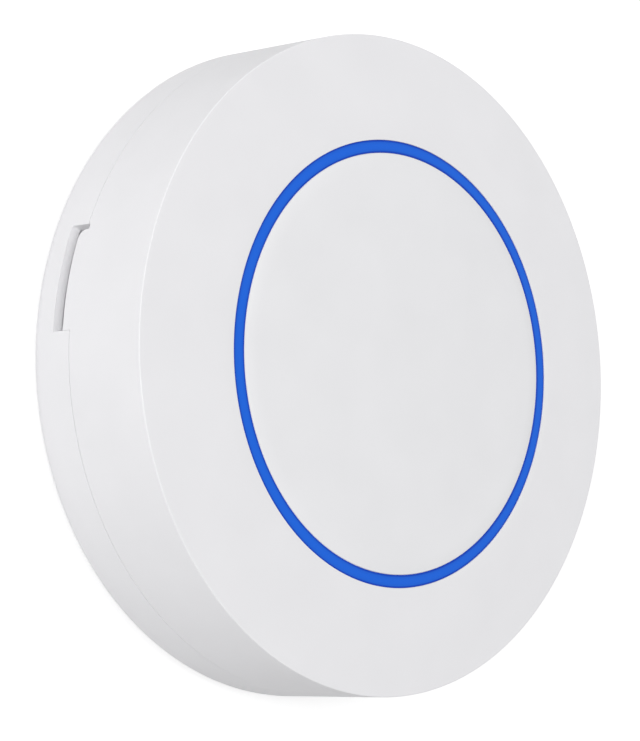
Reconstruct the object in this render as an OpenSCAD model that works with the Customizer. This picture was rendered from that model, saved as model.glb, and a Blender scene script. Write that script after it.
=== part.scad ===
// Round wireless press button: a drafted two-piece case with a pry slot, a guided press disc with a
// light ring round it, and a board, a tact switch and a coin cell inside.
// Millimetres. The rear pad lies on z = 0, the case axis is Z and the press disc faces +Z.

/* [Face] */
// Diameter of the press disc
button_d = 36.8; // [30:0.2:44]
// Gap between the press disc and the light ring
button_gap = 0.1; // [0.1:0.05:0.4]
// Rounding of the press disc's edge
button_edge_r = 0.25; // [0.15:0.05:1.2]
// Width of the light ring where it shows
ring_w = 1.05; // [0.6:0.05:2.5]
// Gap round the light ring in the face opening
ring_fit = 0.05; // [0.03:0.01:0.1]
// Depth of the light ring below the face
ring_recess = 0.05; // [0.03:0.01:0.6]
// Chamfer on the light ring and on the face opening
ring_chamfer = 0.05; // [0.03:0.01:0.2]
// Width of the face outside the opening
rim_w = 9.2; // [9:0.1:14]

/* [Case] */
// Loss of radius from the rear edge to the front edge
draft = 1.2; // [0.4:0.1:2.5]
// Height of the parting line
split_h = 5.2; // [4.6:0.1:6.4]
// Wall at the front edge
wall_t = 1.4; // [1.2:0.1:2]
// Thickness of the face
face_t = 1.8; // [1.4:0.1:3]
// Thickness of the rear floor
floor_t = 1.6; // [1.3:0.1:3]
// Thickness of the rear cover's outer rim
rim_t = 1.4; // [1:0.1:1.6]
// Depth of the groove between that rim and the spigot
moat_h = 2.3; // [2:0.1:2.8]
// Rounding of the front edge
front_edge_r = 0.25; // [0.2:0.05:1.2]
// Rounding of the rear edge
rear_edge_r = 1.2; // [0.5:0.1:1.8]
// Chamfer that draws the parting line
seam_chamfer = 0.1; // [0.05:0.01:0.3]
// Height of the floor ribs
rib_h = 0.9; // [0.5:0.1:1.5]
// Thickness of the ribs
rib_t = 0.9; // [0.6:0.1:1.2]
// Number of floor ribs
rib_count = 12; // [6:1:16]
// Room between the boss ribs and the spigot
boss_rib_gap = 0.6; // [0.3:0.1:1]

/* [Push fit] */
// Height of the rear cover's spigot above the parting line
spigot_h = 2.8; // [2.4:0.1:3.4]
// Thickness of the spigot
spigot_t = 1.3; // [1.1:0.1:1.5]
// Radial gap between the spigot and the front shell
spigot_fit = 0.1; // [0.06:0.01:0.2]
// Chamfer that leads the spigot in
lead_chamfer = 0.3; // [0.1:0.05:0.5]
// Thickness of the seal ring
seal_d = 0.8; // [0.6:0.05:0.9]
// Gap round the seal ring
seal_gap = 0.05; // [0.03:0.01:0.08]
// Height of the seal ring above the parting line
seal_up = 1.5; // [1.2:0.1:1.8]

/* [Pry slot] */
// Direction of the slot's middle
slot_angle = 165.5; // [0:0.5:360]
// Length of the slot
slot_w = 8.8; // [6:0.2:14]
// Height of the notch in the rear cover
slot_h = 2; // [1.6:0.1:2.4]
// Height of the front shell's tongue in the notch
tongue_h = 0.85; // [0.5:0.05:1]
// Thickness of the tongue
tongue_t = 1.2; // [0.8:0.1:1.4]
// Open hook between the tongue's round end and the notch
hook_gap = 0.45; // [0.3:0.05:1]
// Gap at the tongue's other end
tongue_fit = 0.05; // [0.05:0.01:0.2]
// Rounding of the tongue's free corner
tongue_r = 0.8; // [0.3:0.1:0.8]
// Rounding of the notch's corners
notch_r = 0.3; // [0.1:0.1:0.6]

/* [Pad] */
// Diameter of the rear pad
pad_d = 43.8; // [30:0.2:50]
// Thickness of the rear pad
pad_t = 0.8; // [0.5:0.1:1]
// How far the pad stands out of its recess
pad_proud = 0.2; // [0.1:0.05:0.4]
// Gap round the pad
pad_fit = 0.1; // [0.05:0.05:0.3]

/* [Press mechanism] */
// Travel of the press disc
travel = 0.35; // [0.2:0.05:0.6]
// Free play at both stops of the press disc
stop_gap = 0.05; // [0.03:0.01:0.1]
// Thickness of the press disc's plate
plate_t = 1.6; // [1.2:0.1:2]
// Thickness of the press disc's skirt
skirt_t = 1.2; // [0.9:0.1:1.6]
// Thickness of the lip that keeps the press disc in
lip_t = 0.75; // [0.5:0.05:1]
// Reach of that lip under the light ring
lip_w = 0.5; // [0.3:0.05:0.6]
// Height of the ledge that stops the press disc
ledge_h = 0.6; // [0.4:0.1:1]
// Diameter of the guide pins
pin_d = 2.5; // [2:0.1:3.2]
// Radial running gap of the guide pins
pin_fit = 0.05; // [0.03:0.01:0.1]
// Circle that the guide pins stand on
pin_circle_d = 24; // [20:0.5:27]
// Number of guide pins
pin_count = 3; // [3:1:5]
// Wall of the guide sleeves
sleeve_t = 1.2; // [0.8:0.1:1.6]
// Room left above the sleeves and under the pins
pin_gap = 0.25; // [0.2:0.05:0.4]
// Diameter of the post over the switch
post_d = 4; // [3:0.2:5]

/* [Light ring mount] */
// Thickness of the light ring's flange
flange_t = 1.2; // [0.8:0.1:1.6]
// Width of that flange under the face
flange_w = 1.5; // [1.2:0.1:1.6]
// Width of a light leg
leg_w = 4; // [3:0.2:5]
// Inset of the light legs from the flange's edges
leg_inset = 0.2; // [0.15:0.05:0.3]
// Number of light legs, with a screw between each two
leg_count = 4; // [3:1:6]
// Side gap of the light legs and the switch in the frame
pass_gap = 0.25; // [0.15:0.05:0.4]
// Thickness of the frame's plate
frame_t = 1.2; // [1:0.1:1.8]

/* [Board] */
// Thickness of the circuit board
board_t = 1.2; // [0.8:0.1:1.6]
// Gap round the circuit board
board_gap = 0.7; // [0.4:0.1:0.8]
// Diameter of the screw bosses
boss_d = 4.2; // [3.8:0.1:4.6]
// Diameter of the screw shanks
screw_d = 1.7; // [1.4:0.1:2]
// Diameter of the screw heads
screw_head_d = 3.2; // [2.8:0.1:3.4]
// Height of the screw heads
screw_head_h = 1; // [0.7:0.1:1.2]
// Radial gap round a screw in the board and the frame
screw_gap = 0.25; // [0.15:0.05:0.4]
// Radial gap of a screw in its boss
thread_gap = 0.05; // [0.03:0.01:0.08]
// Solid left above a boss's hole, under the face
pilot_left = 0.4; // [0.2:0.1:1]
// Gap at a screw's tip
tip_gap = 0.2; // [0.1:0.1:0.5]
// Width of the cross in a screw head
cross_w = 2.1; // [1.5:0.1:2.4]
// Thickness of that cross
cross_t = 0.5; // [0.3:0.1:0.7]
// Depth of that cross
cross_deep = 0.5; // [0.3:0.1:0.7]
// Inset of the frame's ears from the boss width
ear_inset = 0.3; // [0.2:0.1:0.6]
// Diameter of the frame's locating pegs
peg_d = 1.4; // [1:0.1:2]
// Circle that the locating pegs stand on
peg_circle_d = 30; // [28:0.5:32]
// Radial gap of a locating peg in the board
peg_fit = 0.05; // [0.03:0.01:0.1]
// Lamp height
led_h = 0.75; // [0.5:0.05:1]
// Lamp width along the ring
led_w = 2; // [1.6:0.1:2.6]
// Lamp depth across the ring
led_deep = 1; // [0.8:0.1:1.2]
// Gap between a lamp and its light leg
led_gap = 0.15; // [0.1:0.05:0.3]

/* [Switch] */
// Width of the tact switch
switch_w = 6.2; // [5.6:0.1:6.8]
// Floor of the switch body
switch_floor_t = 1.1; // [0.8:0.1:1.4]
// Height of the pressed snap dome
dome_left = 0.45; // [0.35:0.05:0.6]
// Thickness of the snap dome
dome_t = 0.15; // [0.1:0.01:0.2]
// Diameter of the plunger
plunger_d = 3.4; // [3:0.1:3.6]
// Reach of the plunger's collar
collar_w = 0.5; // [0.3:0.05:0.6]
// Thickness of the plunger's collar
collar_t = 0.35; // [0.25:0.05:0.5]
// Radial gap round the plunger
plunger_fit = 0.08; // [0.05:0.01:0.1]
// Thickness of the metal cover
switch_cover_t = 0.3; // [0.2:0.05:0.4]
// How far the plunger still stands out when pressed
plunger_left = 0.15; // [0.1:0.05:0.3]
// Width of a solder leg
terminal_w = 0.7; // [0.5:0.05:1]
// Distance between the two solder legs of a side
terminal_pitch = 4; // [3:0.1:4.6]
// Reach of a solder leg
terminal_reach = 1.2; // [0.8:0.1:1.4]
// Thickness of a solder leg
terminal_t = 0.25; // [0.15:0.05:0.3]

/* [Coin cell] */
// Diameter of the coin cell
cell_d = 20; // [16:0.5:20]
// Height of the coin cell
cell_h = 3.2; // [3:0.1:5]
// Sheet thickness of the coin cell
cell_sheet_t = 0.3; // [0.2:0.05:0.4]
// Thickness of its insulating ring
cell_gasket_t = 0.5; // [0.3:0.05:0.7]
// Height of its cap above the can
cell_step = 0.3; // [0.2:0.05:0.5]
// Rounding of the can's edge
cell_edge_r = 0.5; // [0.3:0.1:0.8]
// Thickness of the contact disc
contact_t = 0.15; // [0.1:0.05:0.3]
// Diameter of the contact disc
contact_d = 9; // [6:0.5:12]
// Sheet thickness of the cell's strap
clip_t = 0.3; // [0.2:0.05:0.4]
// Width of the strap
clip_w = 6; // [4:0.5:9]
// Gap between the strap's sides and the cell
clip_gap = 0.2; // [0.1:0.05:0.4]
// Length of the strap's feet
clip_foot = 2.4; // [1.5:0.1:3]
// Room between the strap and the rear floor
floor_gap = 0.75; // [0.2:0.05:1]

/* [Radio] */
// Width of the radio board
radio_w = 12; // [10:0.5:14]
// Depth of the radio board
radio_deep = 10; // [9:0.5:10]
// Thickness of the radio board
radio_t = 0.8; // [0.6:0.1:1]
// Distance of the radio board from the circuit board's edge
radio_edge = 3.7; // [3.5:0.1:4]
// Height of the radio can
shield_h = 1.4; // [1:0.1:1.6]
// Margin of the radio can on its board
shield_inset = 0.4; // [0.2:0.1:1]
// Depth of the radio can
shield_deep = 6.6; // [5:0.2:7]
// Length of the aerial block
antenna_w = 5; // [3:0.5:8]
// Depth of the aerial block
antenna_deep = 1.4; // [1:0.1:1.6]
// Height of the aerial block
antenna_h = 1; // [0.6:0.1:1.4]

/* [Small parts] */
// Width of the crystal's can
crystal_w = 3.2; // [2.5:0.1:4]
// Depth of the crystal's can
crystal_deep = 2.5; // [1.6:0.1:2.5]
// Height of the crystal's can
crystal_h = 0.9; // [0.6:0.1:1.2]
// Length of a chip part
chip_w = 1.6; // [1:0.1:2]
// Depth of a chip part
chip_deep = 0.8; // [0.5:0.1:1]
// Height of a chip part
chip_h = 0.6; // [0.4:0.1:1]
// Distance from one chip part to the next
chip_pitch = 1.8; // [1.4:0.1:2.2]
// Number of chip parts
chip_count = 5; // [3:1:6]
// Distance of the chip parts from the circuit board's edge
chip_edge = 8; // [6:0.5:8]
// Gap between the chip parts and the crystal
chip_gap = 0.8; // [0.5:0.1:1]

/* [Hidden] */
$fn = 96;
arc_steps = 8;
overlap = 0.2;

// Radii, from the press disc outwards
button_r = button_d / 2;
ring_in_r = button_r + button_gap;
ring_out_r = ring_in_r + ring_w;
opening_r = ring_out_r + ring_fit;
flange_r = opening_r + flange_w;
front_r = opening_r + rim_w;
rear_r = front_r + draft;
bore_r = front_r - wall_t;
spigot_out_r = bore_r - spigot_fit;
spigot_in_r = spigot_out_r - spigot_t;
board_r = spigot_in_r - board_gap;
boss_circle_r = (flange_r + spigot_in_r) / 2;
skirt_in_r = button_r - skirt_t;
lip_r = ring_in_r + lip_w;
leg_in_r = opening_r + leg_inset;
leg_out_r = flange_r - leg_inset;
leg_mid_r = (leg_in_r + leg_out_r) / 2;
support_in_r = leg_in_r - leg_inset;
pin_circle_r = pin_circle_d / 2;
seal_circle_r = bore_r - seal_gap - seal_d / 2;
groove_r = seal_circle_r - seal_d / 2 - seal_gap;
groove_half_h = seal_d / 2 + seal_gap;
cell_r = cell_d / 2;

// Heights, from the counter upwards
foot_z = pad_proud;
pad_seat_z = pad_t;
floor_z = foot_z + floor_t;
clip_z = floor_z + floor_gap;
cell_z = clip_z + clip_t;
cell_top_z = cell_z + cell_h;
board_z = cell_top_z + contact_t;
board_top_z = board_z + board_t;
frame_top_z = board_top_z + frame_t;
ledge_z = frame_top_z + ledge_h;
skirt_z = ledge_z + stop_gap + travel;
lip_z = skirt_z + lip_t;
flange_z = lip_z + stop_gap;
ceiling_z = flange_z + flange_t;
face_z = ceiling_z + face_t;
plate_z = face_z - plate_t;
ring_top_z = face_z - ring_recess;
sleeve_top_z = plate_z - travel - pin_gap;
pin_z = board_top_z + travel + pin_gap;
leg_z = board_top_z + led_h + led_gap;
spigot_top_z = split_h + spigot_h;
seal_z = split_h + seal_up;
slot_z = split_h - slot_h;
tongue_z = split_h - tongue_h;
pilot_end_z = ceiling_z - pilot_left;
screw_end_z = pilot_end_z - tip_gap;

// Switch heights
dome_h = dome_left + travel;
dome_z = board_top_z + switch_floor_t;
collar_z = dome_z + dome_h;
switch_top_z = collar_z + collar_t + stop_gap;
switch_cover_z = switch_top_z + switch_cover_t;
plunger_top_z = switch_cover_z + plunger_left + travel;
plunger_r = plunger_d / 2;
collar_r = plunger_r + collar_w;
well_r = collar_r + plunger_fit;

// Wall slope and places worked out from it
draft_angle = atan(draft / (face_z - foot_z));
moat_out_r = wall_r(split_h) - rim_t;
moat_z = split_h - moat_h;
tongue_in_r = wall_r(split_h) - tongue_t;
tongue_low = -slot_w / 2 + hook_gap;
tongue_high = slot_w / 2 - tongue_fit;
radio_y = board_r - radio_edge - radio_deep;
chip_y = chip_edge - board_r;
crystal_y = chip_y + chip_w + chip_gap;

white = [0.91, 0.91, 0.92];
blue = [0.12, 0.38, 0.86];
frame_grey = [0.72, 0.74, 0.76];
board_green = [0.05, 0.32, 0.2];
steel = [0.74, 0.75, 0.77];
black = [0.1, 0.1, 0.11];

// Outer radius of the drafted side wall at a height
function wall_r(z) = rear_r - draft * (z - foot_z) / (face_z - foot_z);

// Points of an arc about a centre, from one angle to another
function arc(x, y, r, from, to) =
    [for (i = [0:arc_steps]) let (a = from + (to - from) * i / arc_steps) [x + r * cos(a), y + r * sin(a)]];

// Centre, across the wall, of a rounding that touches the side wall at a height
function edge_x(z, r) = wall_r(z) - r / cos(draft_angle);

// Revolves an outline drawn as radius and height
module lathe(points) {
    rotate_extrude() polygon(points);
}

// Copies its children evenly round the axis
module ring_of(count, radius, start = 0) {
    for (i = [0:count - 1])
        rotate(start + 360 * i / count) translate([radius, 0, 0]) children();
}

// Copies its children to the screw places
module at_bosses() {
    ring_of(leg_count, boss_circle_r, 180 / leg_count) children();
}

// Copies its children to the guide pins
module at_pins() {
    ring_of(pin_count, pin_circle_r, -90) children();
}

// Copies its children to the light legs
module at_legs() {
    ring_of(leg_count, leg_mid_r) children();
}

// A cylinder from one height to another
module post(r, z0, z1) {
    translate([0, 0, z0]) cylinder(r = r, h = z1 - z0);
}

// A block centred on X and Y, from one height to another
module block(w, d, z0, z1) {
    translate([-w / 2, -d / 2, z0]) cube([w, d, z1 - z0]);
}

// Runs an outline, drawn along the rim and upwards, out through the wall at the pry slot
module through_wall(points) {
    rotate(slot_angle)
        translate([bore_r, 0, 0])
            rotate([90, 0, 90])
                linear_extrude(rear_r) polygon(points);
}

module rear_cover() {
    edge_z = foot_z + rear_edge_r;
    profile = concat(
        [[0, pad_seat_z], [pad_d / 2 + pad_fit, pad_seat_z], [pad_d / 2 + pad_fit, foot_z]],
        arc(edge_x(edge_z, rear_edge_r), edge_z, rear_edge_r, -90, draft_angle),
        [[wall_r(split_h - seam_chamfer), split_h - seam_chamfer],
         [wall_r(split_h) - seam_chamfer, split_h],
         [moat_out_r, split_h], [moat_out_r, moat_z], [spigot_out_r, moat_z],
         [spigot_out_r, seal_z - groove_half_h], [groove_r, seal_z - groove_half_h],
         [groove_r, seal_z + groove_half_h], [spigot_out_r, seal_z + groove_half_h],
         [spigot_out_r, spigot_top_z - lead_chamfer], [spigot_out_r - lead_chamfer, spigot_top_z],
         [spigot_in_r, spigot_top_z], [spigot_in_r, floor_z], [0, floor_z]]
    );
    notch = concat(
        [[slot_w / 2, split_h + overlap], [-slot_w / 2, split_h + overlap]],
        arc(-slot_w / 2 + notch_r, slot_z + notch_r, notch_r, 180, 270),
        arc(slot_w / 2 - notch_r, slot_z + notch_r, notch_r, 270, 360)
    );
    rib_start = cell_r + clip_gap + clip_foot + clip_t;
    rib_len = spigot_in_r - rib_start + overlap;
    color(white) difference() {
        union() {
            lathe(profile);
            ring_of(rib_count, rib_start + rib_len / 2)
                block(rib_len, rib_t, floor_z - overlap, floor_z + rib_h);
        }
        through_wall(notch);
    }
}

module rear_pad() {
    color([0.24, 0.25, 0.26]) post(pad_d / 2, 0, pad_seat_z);
}

module seal_ring() {
    color(black) rotate_extrude() translate([seal_circle_r, seal_z]) circle(d = seal_d);
}

module front_shell() {
    edge_z = face_z - front_edge_r;
    profile = concat(
        [[opening_r, ceiling_z], [opening_r, face_z - ring_chamfer], [opening_r + ring_chamfer, face_z]],
        arc(edge_x(edge_z, front_edge_r), edge_z, front_edge_r, 90, draft_angle),
        [[wall_r(tongue_z), tongue_z], [tongue_in_r, tongue_z], [tongue_in_r, split_h],
         [bore_r + lead_chamfer, split_h], [bore_r, split_h + lead_chamfer], [bore_r, ceiling_z]]
    );
    tongue = concat(
        [[tongue_high, tongue_z - overlap], [tongue_high, split_h + overlap],
         [tongue_low, split_h + overlap]],
        arc(tongue_low + tongue_r, tongue_z + tongue_r, tongue_r, 180, 270),
        [[tongue_low + tongue_r, tongue_z - overlap]]
    );
    rib_z = spigot_top_z + boss_rib_gap;
    rib_len = bore_r - boss_circle_r + overlap;
    color(white) difference() {
        union() {
            difference() {
                lathe(profile);
                difference() {
                    post(rear_r, tongue_z - overlap, split_h);
                    through_wall(tongue);
                }
            }
            at_bosses() {
                post(boss_d / 2, frame_top_z, ceiling_z + overlap);
                translate([rib_len / 2, 0, 0]) block(rib_len, rib_t, rib_z, ceiling_z + overlap);
            }
        }
        at_bosses() post(screw_d / 2 + thread_gap, frame_top_z - overlap, pilot_end_z);
    }
}

module light_ring() {
    profile = [
        [ring_in_r, flange_z], [flange_r, flange_z], [flange_r, ceiling_z], [ring_out_r, ceiling_z],
        [ring_out_r, ring_top_z - ring_chamfer], [ring_out_r - ring_chamfer, ring_top_z],
        [ring_in_r + ring_chamfer, ring_top_z], [ring_in_r, ring_top_z - ring_chamfer]
    ];
    color(blue) {
        lathe(profile);
        at_legs() block(leg_out_r - leg_in_r, leg_w, leg_z, flange_z + overlap);
    }
}

module button_disc() {
    profile = concat(
        [[0, plate_z], [skirt_in_r, plate_z], [skirt_in_r, skirt_z], [lip_r, skirt_z], [lip_r, lip_z],
         [button_r, lip_z]],
        arc(button_r - button_edge_r, face_z - button_edge_r, button_edge_r, 0, 90),
        [[0, face_z]]
    );
    web_len = skirt_in_r - post_d / 2 + 2 * overlap;
    color(white) {
        lathe(profile);
        post(post_d / 2, plunger_top_z, plate_z + overlap);
        at_pins() post(pin_d / 2, pin_z, plate_z + overlap);
        ring_of(pin_count, post_d / 2 - overlap + web_len / 2, 90)
            block(web_len, rib_t, plate_z - pin_gap, plate_z + overlap);
    }
}

module inner_frame() {
    profile = [
        [0, board_top_z], [flange_r, board_top_z], [flange_r, flange_z], [support_in_r, flange_z],
        [support_in_r, ledge_z], [skirt_in_r, ledge_z], [skirt_in_r, frame_top_z], [0, frame_top_z]
    ];
    ear_len = boss_circle_r - support_in_r;
    leg_hole_w = leg_w + 2 * pass_gap;
    window_w = switch_w + 2 * (terminal_reach + pass_gap);
    window_d = switch_w + 2 * pass_gap;
    color(frame_grey) difference() {
        union() {
            lathe(profile);
            at_bosses() {
                post(boss_d / 2, board_top_z, frame_top_z);
                translate([-ear_len / 2, 0, 0])
                    block(ear_len, boss_d - 2 * ear_inset, board_top_z, frame_top_z);
            }
            at_pins() post(pin_d / 2 + pin_fit + sleeve_t, frame_top_z - overlap, sleeve_top_z);
            ring_of(2, peg_circle_d / 2) post(peg_d / 2, board_z, board_top_z + overlap);
        }
        block(window_w, window_d, board_top_z - overlap, frame_top_z + overlap);
        at_legs()
            block(2 * (flange_r - support_in_r), leg_hole_w, board_top_z - overlap, flange_z + overlap);
        at_bosses() post(screw_d / 2 + screw_gap, board_top_z - overlap, frame_top_z + overlap);
        at_pins() post(pin_d / 2 + pin_fit, board_top_z - overlap, sleeve_top_z + overlap);
    }
}

module main_board() {
    color(board_green) difference() {
        post(board_r, board_z, board_top_z);
        at_bosses() post(screw_d / 2 + screw_gap, board_z - overlap, board_top_z + overlap);
        ring_of(2, peg_circle_d / 2)
            post(peg_d / 2 + peg_fit, board_z - overlap, board_top_z + overlap);
    }
}

module screws() {
    head_z = board_z - screw_head_h;
    cross_z = head_z + cross_deep;
    color(steel) at_bosses() difference() {
        union() {
            post(screw_head_d / 2, head_z, board_z);
            post(screw_d / 2, board_z - overlap, screw_end_z);
        }
        block(cross_w, cross_t, head_z - overlap, cross_z);
        block(cross_t, cross_w, head_z - overlap, cross_z);
    }
}

module leds() {
    color([0.95, 0.94, 0.86]) at_legs() block(led_deep, led_w, board_top_z, board_top_z + led_h);
}

module switch_base() {
    color(black) difference() {
        block(switch_w, switch_w, board_top_z, switch_top_z);
        post(well_r, dome_z, switch_top_z + overlap);
    }
}

module switch_terminals() {
    leg_h = switch_floor_t;
    outline = [
        [0, 0], [terminal_reach, 0], [terminal_reach, terminal_t], [terminal_t, terminal_t],
        [terminal_t, leg_h], [0, leg_h]
    ];
    color(steel)
        for (side = [0, 180], y = [-terminal_pitch / 2, terminal_pitch / 2])
            rotate(side) translate([switch_w / 2, y + terminal_w / 2, board_top_z])
                rotate([90, 0, 0]) linear_extrude(terminal_w) polygon(outline);
}

module snap_dome() {
    crown_r = (collar_r * collar_r + dome_h * dome_h) / (2 * dome_h);
    inner_r = crown_r - dome_t;
    centre_z = dome_z + dome_h - crown_r;
    profile = concat(
        arc(0, centre_z, crown_r, acos(collar_r / crown_r), 90),
        arc(0, centre_z, inner_r, 90, asin((dome_z - centre_z) / inner_r))
    );
    color(steel) lathe(profile);
}

module switch_plunger() {
    color(black) {
        post(collar_r, collar_z, collar_z + collar_t);
        post(plunger_r, collar_z + collar_t / 2, plunger_top_z);
    }
}

module switch_cover() {
    color(steel) difference() {
        block(switch_w, switch_w, switch_top_z, switch_cover_z);
        post(plunger_r + plunger_fit, switch_top_z - overlap, switch_cover_z + overlap);
    }
}

module radio_board() {
    color([0.06, 0.2, 0.36])
        translate([0, radio_y + radio_deep / 2, 0]) block(radio_w, radio_deep, board_z - radio_t, board_z);
}

module radio_shield() {
    top_z = board_z - radio_t;
    color(steel)
        translate([0, radio_y + shield_inset + shield_deep / 2, 0])
            block(radio_w - 2 * shield_inset, shield_deep, top_z - shield_h, top_z);
}

module chip_antenna() {
    top_z = board_z - radio_t;
    color([0.92, 0.9, 0.84])
        translate([0, radio_y + radio_deep - shield_inset - antenna_deep / 2, 0])
            block(antenna_w, antenna_deep, top_z - antenna_h, top_z);
}

module crystal() {
    color(steel)
        translate([0, crystal_y + crystal_deep / 2, 0])
            block(crystal_w, crystal_deep, board_z - crystal_h, board_z);
}

module passives() {
    color([0.62, 0.5, 0.36])
        for (i = [0:chip_count - 1])
            translate([(i - (chip_count - 1) / 2) * chip_pitch, chip_y + chip_w / 2, 0])
                block(chip_deep, chip_w, board_z - chip_h, board_z);
}

module cell_contact() {
    color([0.85, 0.72, 0.35]) post(contact_d / 2, cell_top_z, board_z);
}

module coin_cell_can() {
    can_top_z = cell_top_z - cell_step;
    inner_r = cell_r - cell_sheet_t;
    profile = concat(
        [[0, cell_z]],
        arc(cell_r - cell_edge_r, cell_z + cell_edge_r, cell_edge_r, -90, 0),
        [[cell_r, can_top_z], [inner_r, can_top_z], [inner_r, cell_z + cell_sheet_t],
         [0, cell_z + cell_sheet_t]]
    );
    color(steel) lathe(profile);
}

module coin_cell_gasket() {
    outer_r = cell_r - cell_sheet_t;
    color(black) difference() {
        post(outer_r, cell_z + cell_sheet_t, cell_top_z - cell_step);
        post(outer_r - cell_gasket_t, cell_z, cell_top_z);
    }
}

module coin_cell_cap() {
    cap_r = cell_r - cell_sheet_t - cell_gasket_t;
    profile = concat(
        [[0, cell_z + cell_sheet_t], [cap_r, cell_z + cell_sheet_t]],
        arc(cap_r - cell_step, cell_top_z - cell_step, cell_step, 0, 90),
        [[0, cell_top_z]]
    );
    color(steel) lathe(profile);
}

module battery_clip() {
    inner = cell_r + clip_gap;
    outer = inner + clip_t;
    foot = outer + clip_foot;
    foot_low = board_z - clip_t;
    outline = [
        [-outer, clip_z], [outer, clip_z], [outer, foot_low], [foot, foot_low], [foot, board_z],
        [inner, board_z], [inner, cell_z], [-inner, cell_z], [-inner, board_z], [-foot, board_z],
        [-foot, foot_low], [-outer, foot_low]
    ];
    color(steel)
        translate([0, clip_w / 2, 0]) rotate([90, 0, 0]) linear_extrude(clip_w) polygon(outline);
}

rear_cover();
rear_pad();
seal_ring();
front_shell();
light_ring();
button_disc();
inner_frame();
main_board();
screws();
leds();
switch_base();
switch_terminals();
snap_dome();
switch_plunger();
switch_cover();
radio_board();
radio_shield();
chip_antenna();
crystal();
passives();
cell_contact();
coin_cell_can();
coin_cell_gasket();
coin_cell_cap();
battery_clip();
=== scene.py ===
"""Looks of the round press button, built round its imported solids. Sizes are in millimetres."""
import math
from collections import namedtuple

import bmesh
import bpy
from mathutils import Matrix, Vector


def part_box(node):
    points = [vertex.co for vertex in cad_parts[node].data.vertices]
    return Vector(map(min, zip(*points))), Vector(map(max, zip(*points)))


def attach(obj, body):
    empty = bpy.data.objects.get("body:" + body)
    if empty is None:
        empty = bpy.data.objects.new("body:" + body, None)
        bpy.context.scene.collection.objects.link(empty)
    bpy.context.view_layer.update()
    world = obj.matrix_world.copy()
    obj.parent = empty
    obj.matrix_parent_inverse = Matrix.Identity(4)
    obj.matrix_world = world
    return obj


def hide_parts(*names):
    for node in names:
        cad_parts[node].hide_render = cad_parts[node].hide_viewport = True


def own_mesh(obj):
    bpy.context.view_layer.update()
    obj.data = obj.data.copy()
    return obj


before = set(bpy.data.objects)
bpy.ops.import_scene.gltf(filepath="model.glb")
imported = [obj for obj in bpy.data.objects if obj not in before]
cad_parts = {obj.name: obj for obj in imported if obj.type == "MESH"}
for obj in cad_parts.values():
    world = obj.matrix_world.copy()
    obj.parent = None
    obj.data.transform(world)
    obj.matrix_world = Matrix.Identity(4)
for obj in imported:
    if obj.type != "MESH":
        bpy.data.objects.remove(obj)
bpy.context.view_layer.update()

MM = 0.001


def low(node, axis=2):
    """Lowest place of a solid, in millimetres."""
    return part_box(node)[0][axis] / MM


def high(node, axis=2):
    """Highest place of a solid, in millimetres."""
    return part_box(node)[1][axis] / MM


def sides(node):
    """Where a solid starts and ends along x and y, as x0, y0, x1, y1."""
    return low(node, 0), low(node, 1), high(node, 0), high(node, 1)


# Face, from the press disc outwards
DISC_R = 18.47
DISC_GAP = 0.01
DISC_EDGE = 0.05
DISC_FALL_W = 1.3
DISC_FALL = 0.1
RING_W = 1.115
RING_FIT = 0.005
RING_EDGE = 0.05
RING_SUNK = 0.04
RIM_W = 9.2
RIM_FALL_W = 1.4
RIM_FALL = 0.03

# Case
DRAFT = 1.2
SPLIT_Z = 5.2
FACE_T = 1.8
FLOOR_T = 1.6
WALL_T = 1.4
RIM_T = 1.4
MOAT_DEEP = 2.3
FRONT_EDGE = 0.09
FRONT_HOLD = 0.3
FRONT_PLAIN = 1.2
REAR_EDGE = 1.2
REAR_HOLD = 0.4
REAR_PLAIN = 0.6
SEAM_EDGE = 0.02
SEAM_GAP = 0.05
CASE_STEPS = 230
INSIDE_STEP = 0.8
CEILING_ROUND = 0.5
FLOOR_ROUND = 0.4
RIB_T = 0.9
RIB_H = 0.9
RIB_ROUND = 0.2
RIB_COUNT = 12
RIB_START = 12.9

# Push fit and seal
SPIGOT_T = 1.3
SPIGOT_FIT = 0.1
LEAD_IN = 0.3
SEAL_D = 0.8
SEAL_GAP = 0.05
SEAL_UP = 1.5

# Pry slot
SLOT_ANGLE = 165.5
SLOT_W = 8.8
SLOT_H = 2.0
SLOT_CORNER = 0.2
SLOT_FIT_CORNER = 0.06
SLOT_LIP = 0.07
SLOT_EDGE = 0.03
SLOT_PATH_STEP = 0.6
TONGUE_H = 0.85
TONGUE_T = 1.2
TONGUE_CORNER = 0.8
TONGUE_EDGE = 0.1
TONGUE_TAPER = 0.4
TONGUE_FIT = 0.01
TONGUE_LEAN = 0.005
FINE_EDGE = 0.02
END_WALL_PUSH = 0.7
HOOK_GAP = 0.45
HOOK_TIP_H = 0.22
HOOK_TIP_CORNER = 0.1
SLOT_SPREAD = 9.0
SLOT_FAN = 1.6
SLOT_RISE = 0.17
SLOT_FLOOR_W = 0.64
SLOT_STEP = 0.02

# Pad
PAD_FIT = 0.1
PAD_SEAT_EDGE = 0.12
PAD_EDGE = 0.2
PAD_RING_STEP = 4.0
PAD_RING_W = 0.7
PAD_RING_DEEP = 0.15

# Press mechanism and light ring mount
PLATE_T = 1.6
PLATE_ROUND = 0.3
SKIRT_T = 1.2
LIP_T = 0.75
LIP_W = 0.5
STOP_GAP = 0.05
FLANGE_T = 1.2
FLANGE_W = 1.5
LEG_W = 4.0
LEG_INSET = 0.2
LEG_COUNT = 4
BETWEEN_LEGS = 180 / LEG_COUNT
PIN_D = 2.5
PIN_CIRCLE_R = 12.0
PIN_COUNT = 3
PIN_GAP = 0.25
WEB_START = 0.5
POST_D = 4.0

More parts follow.
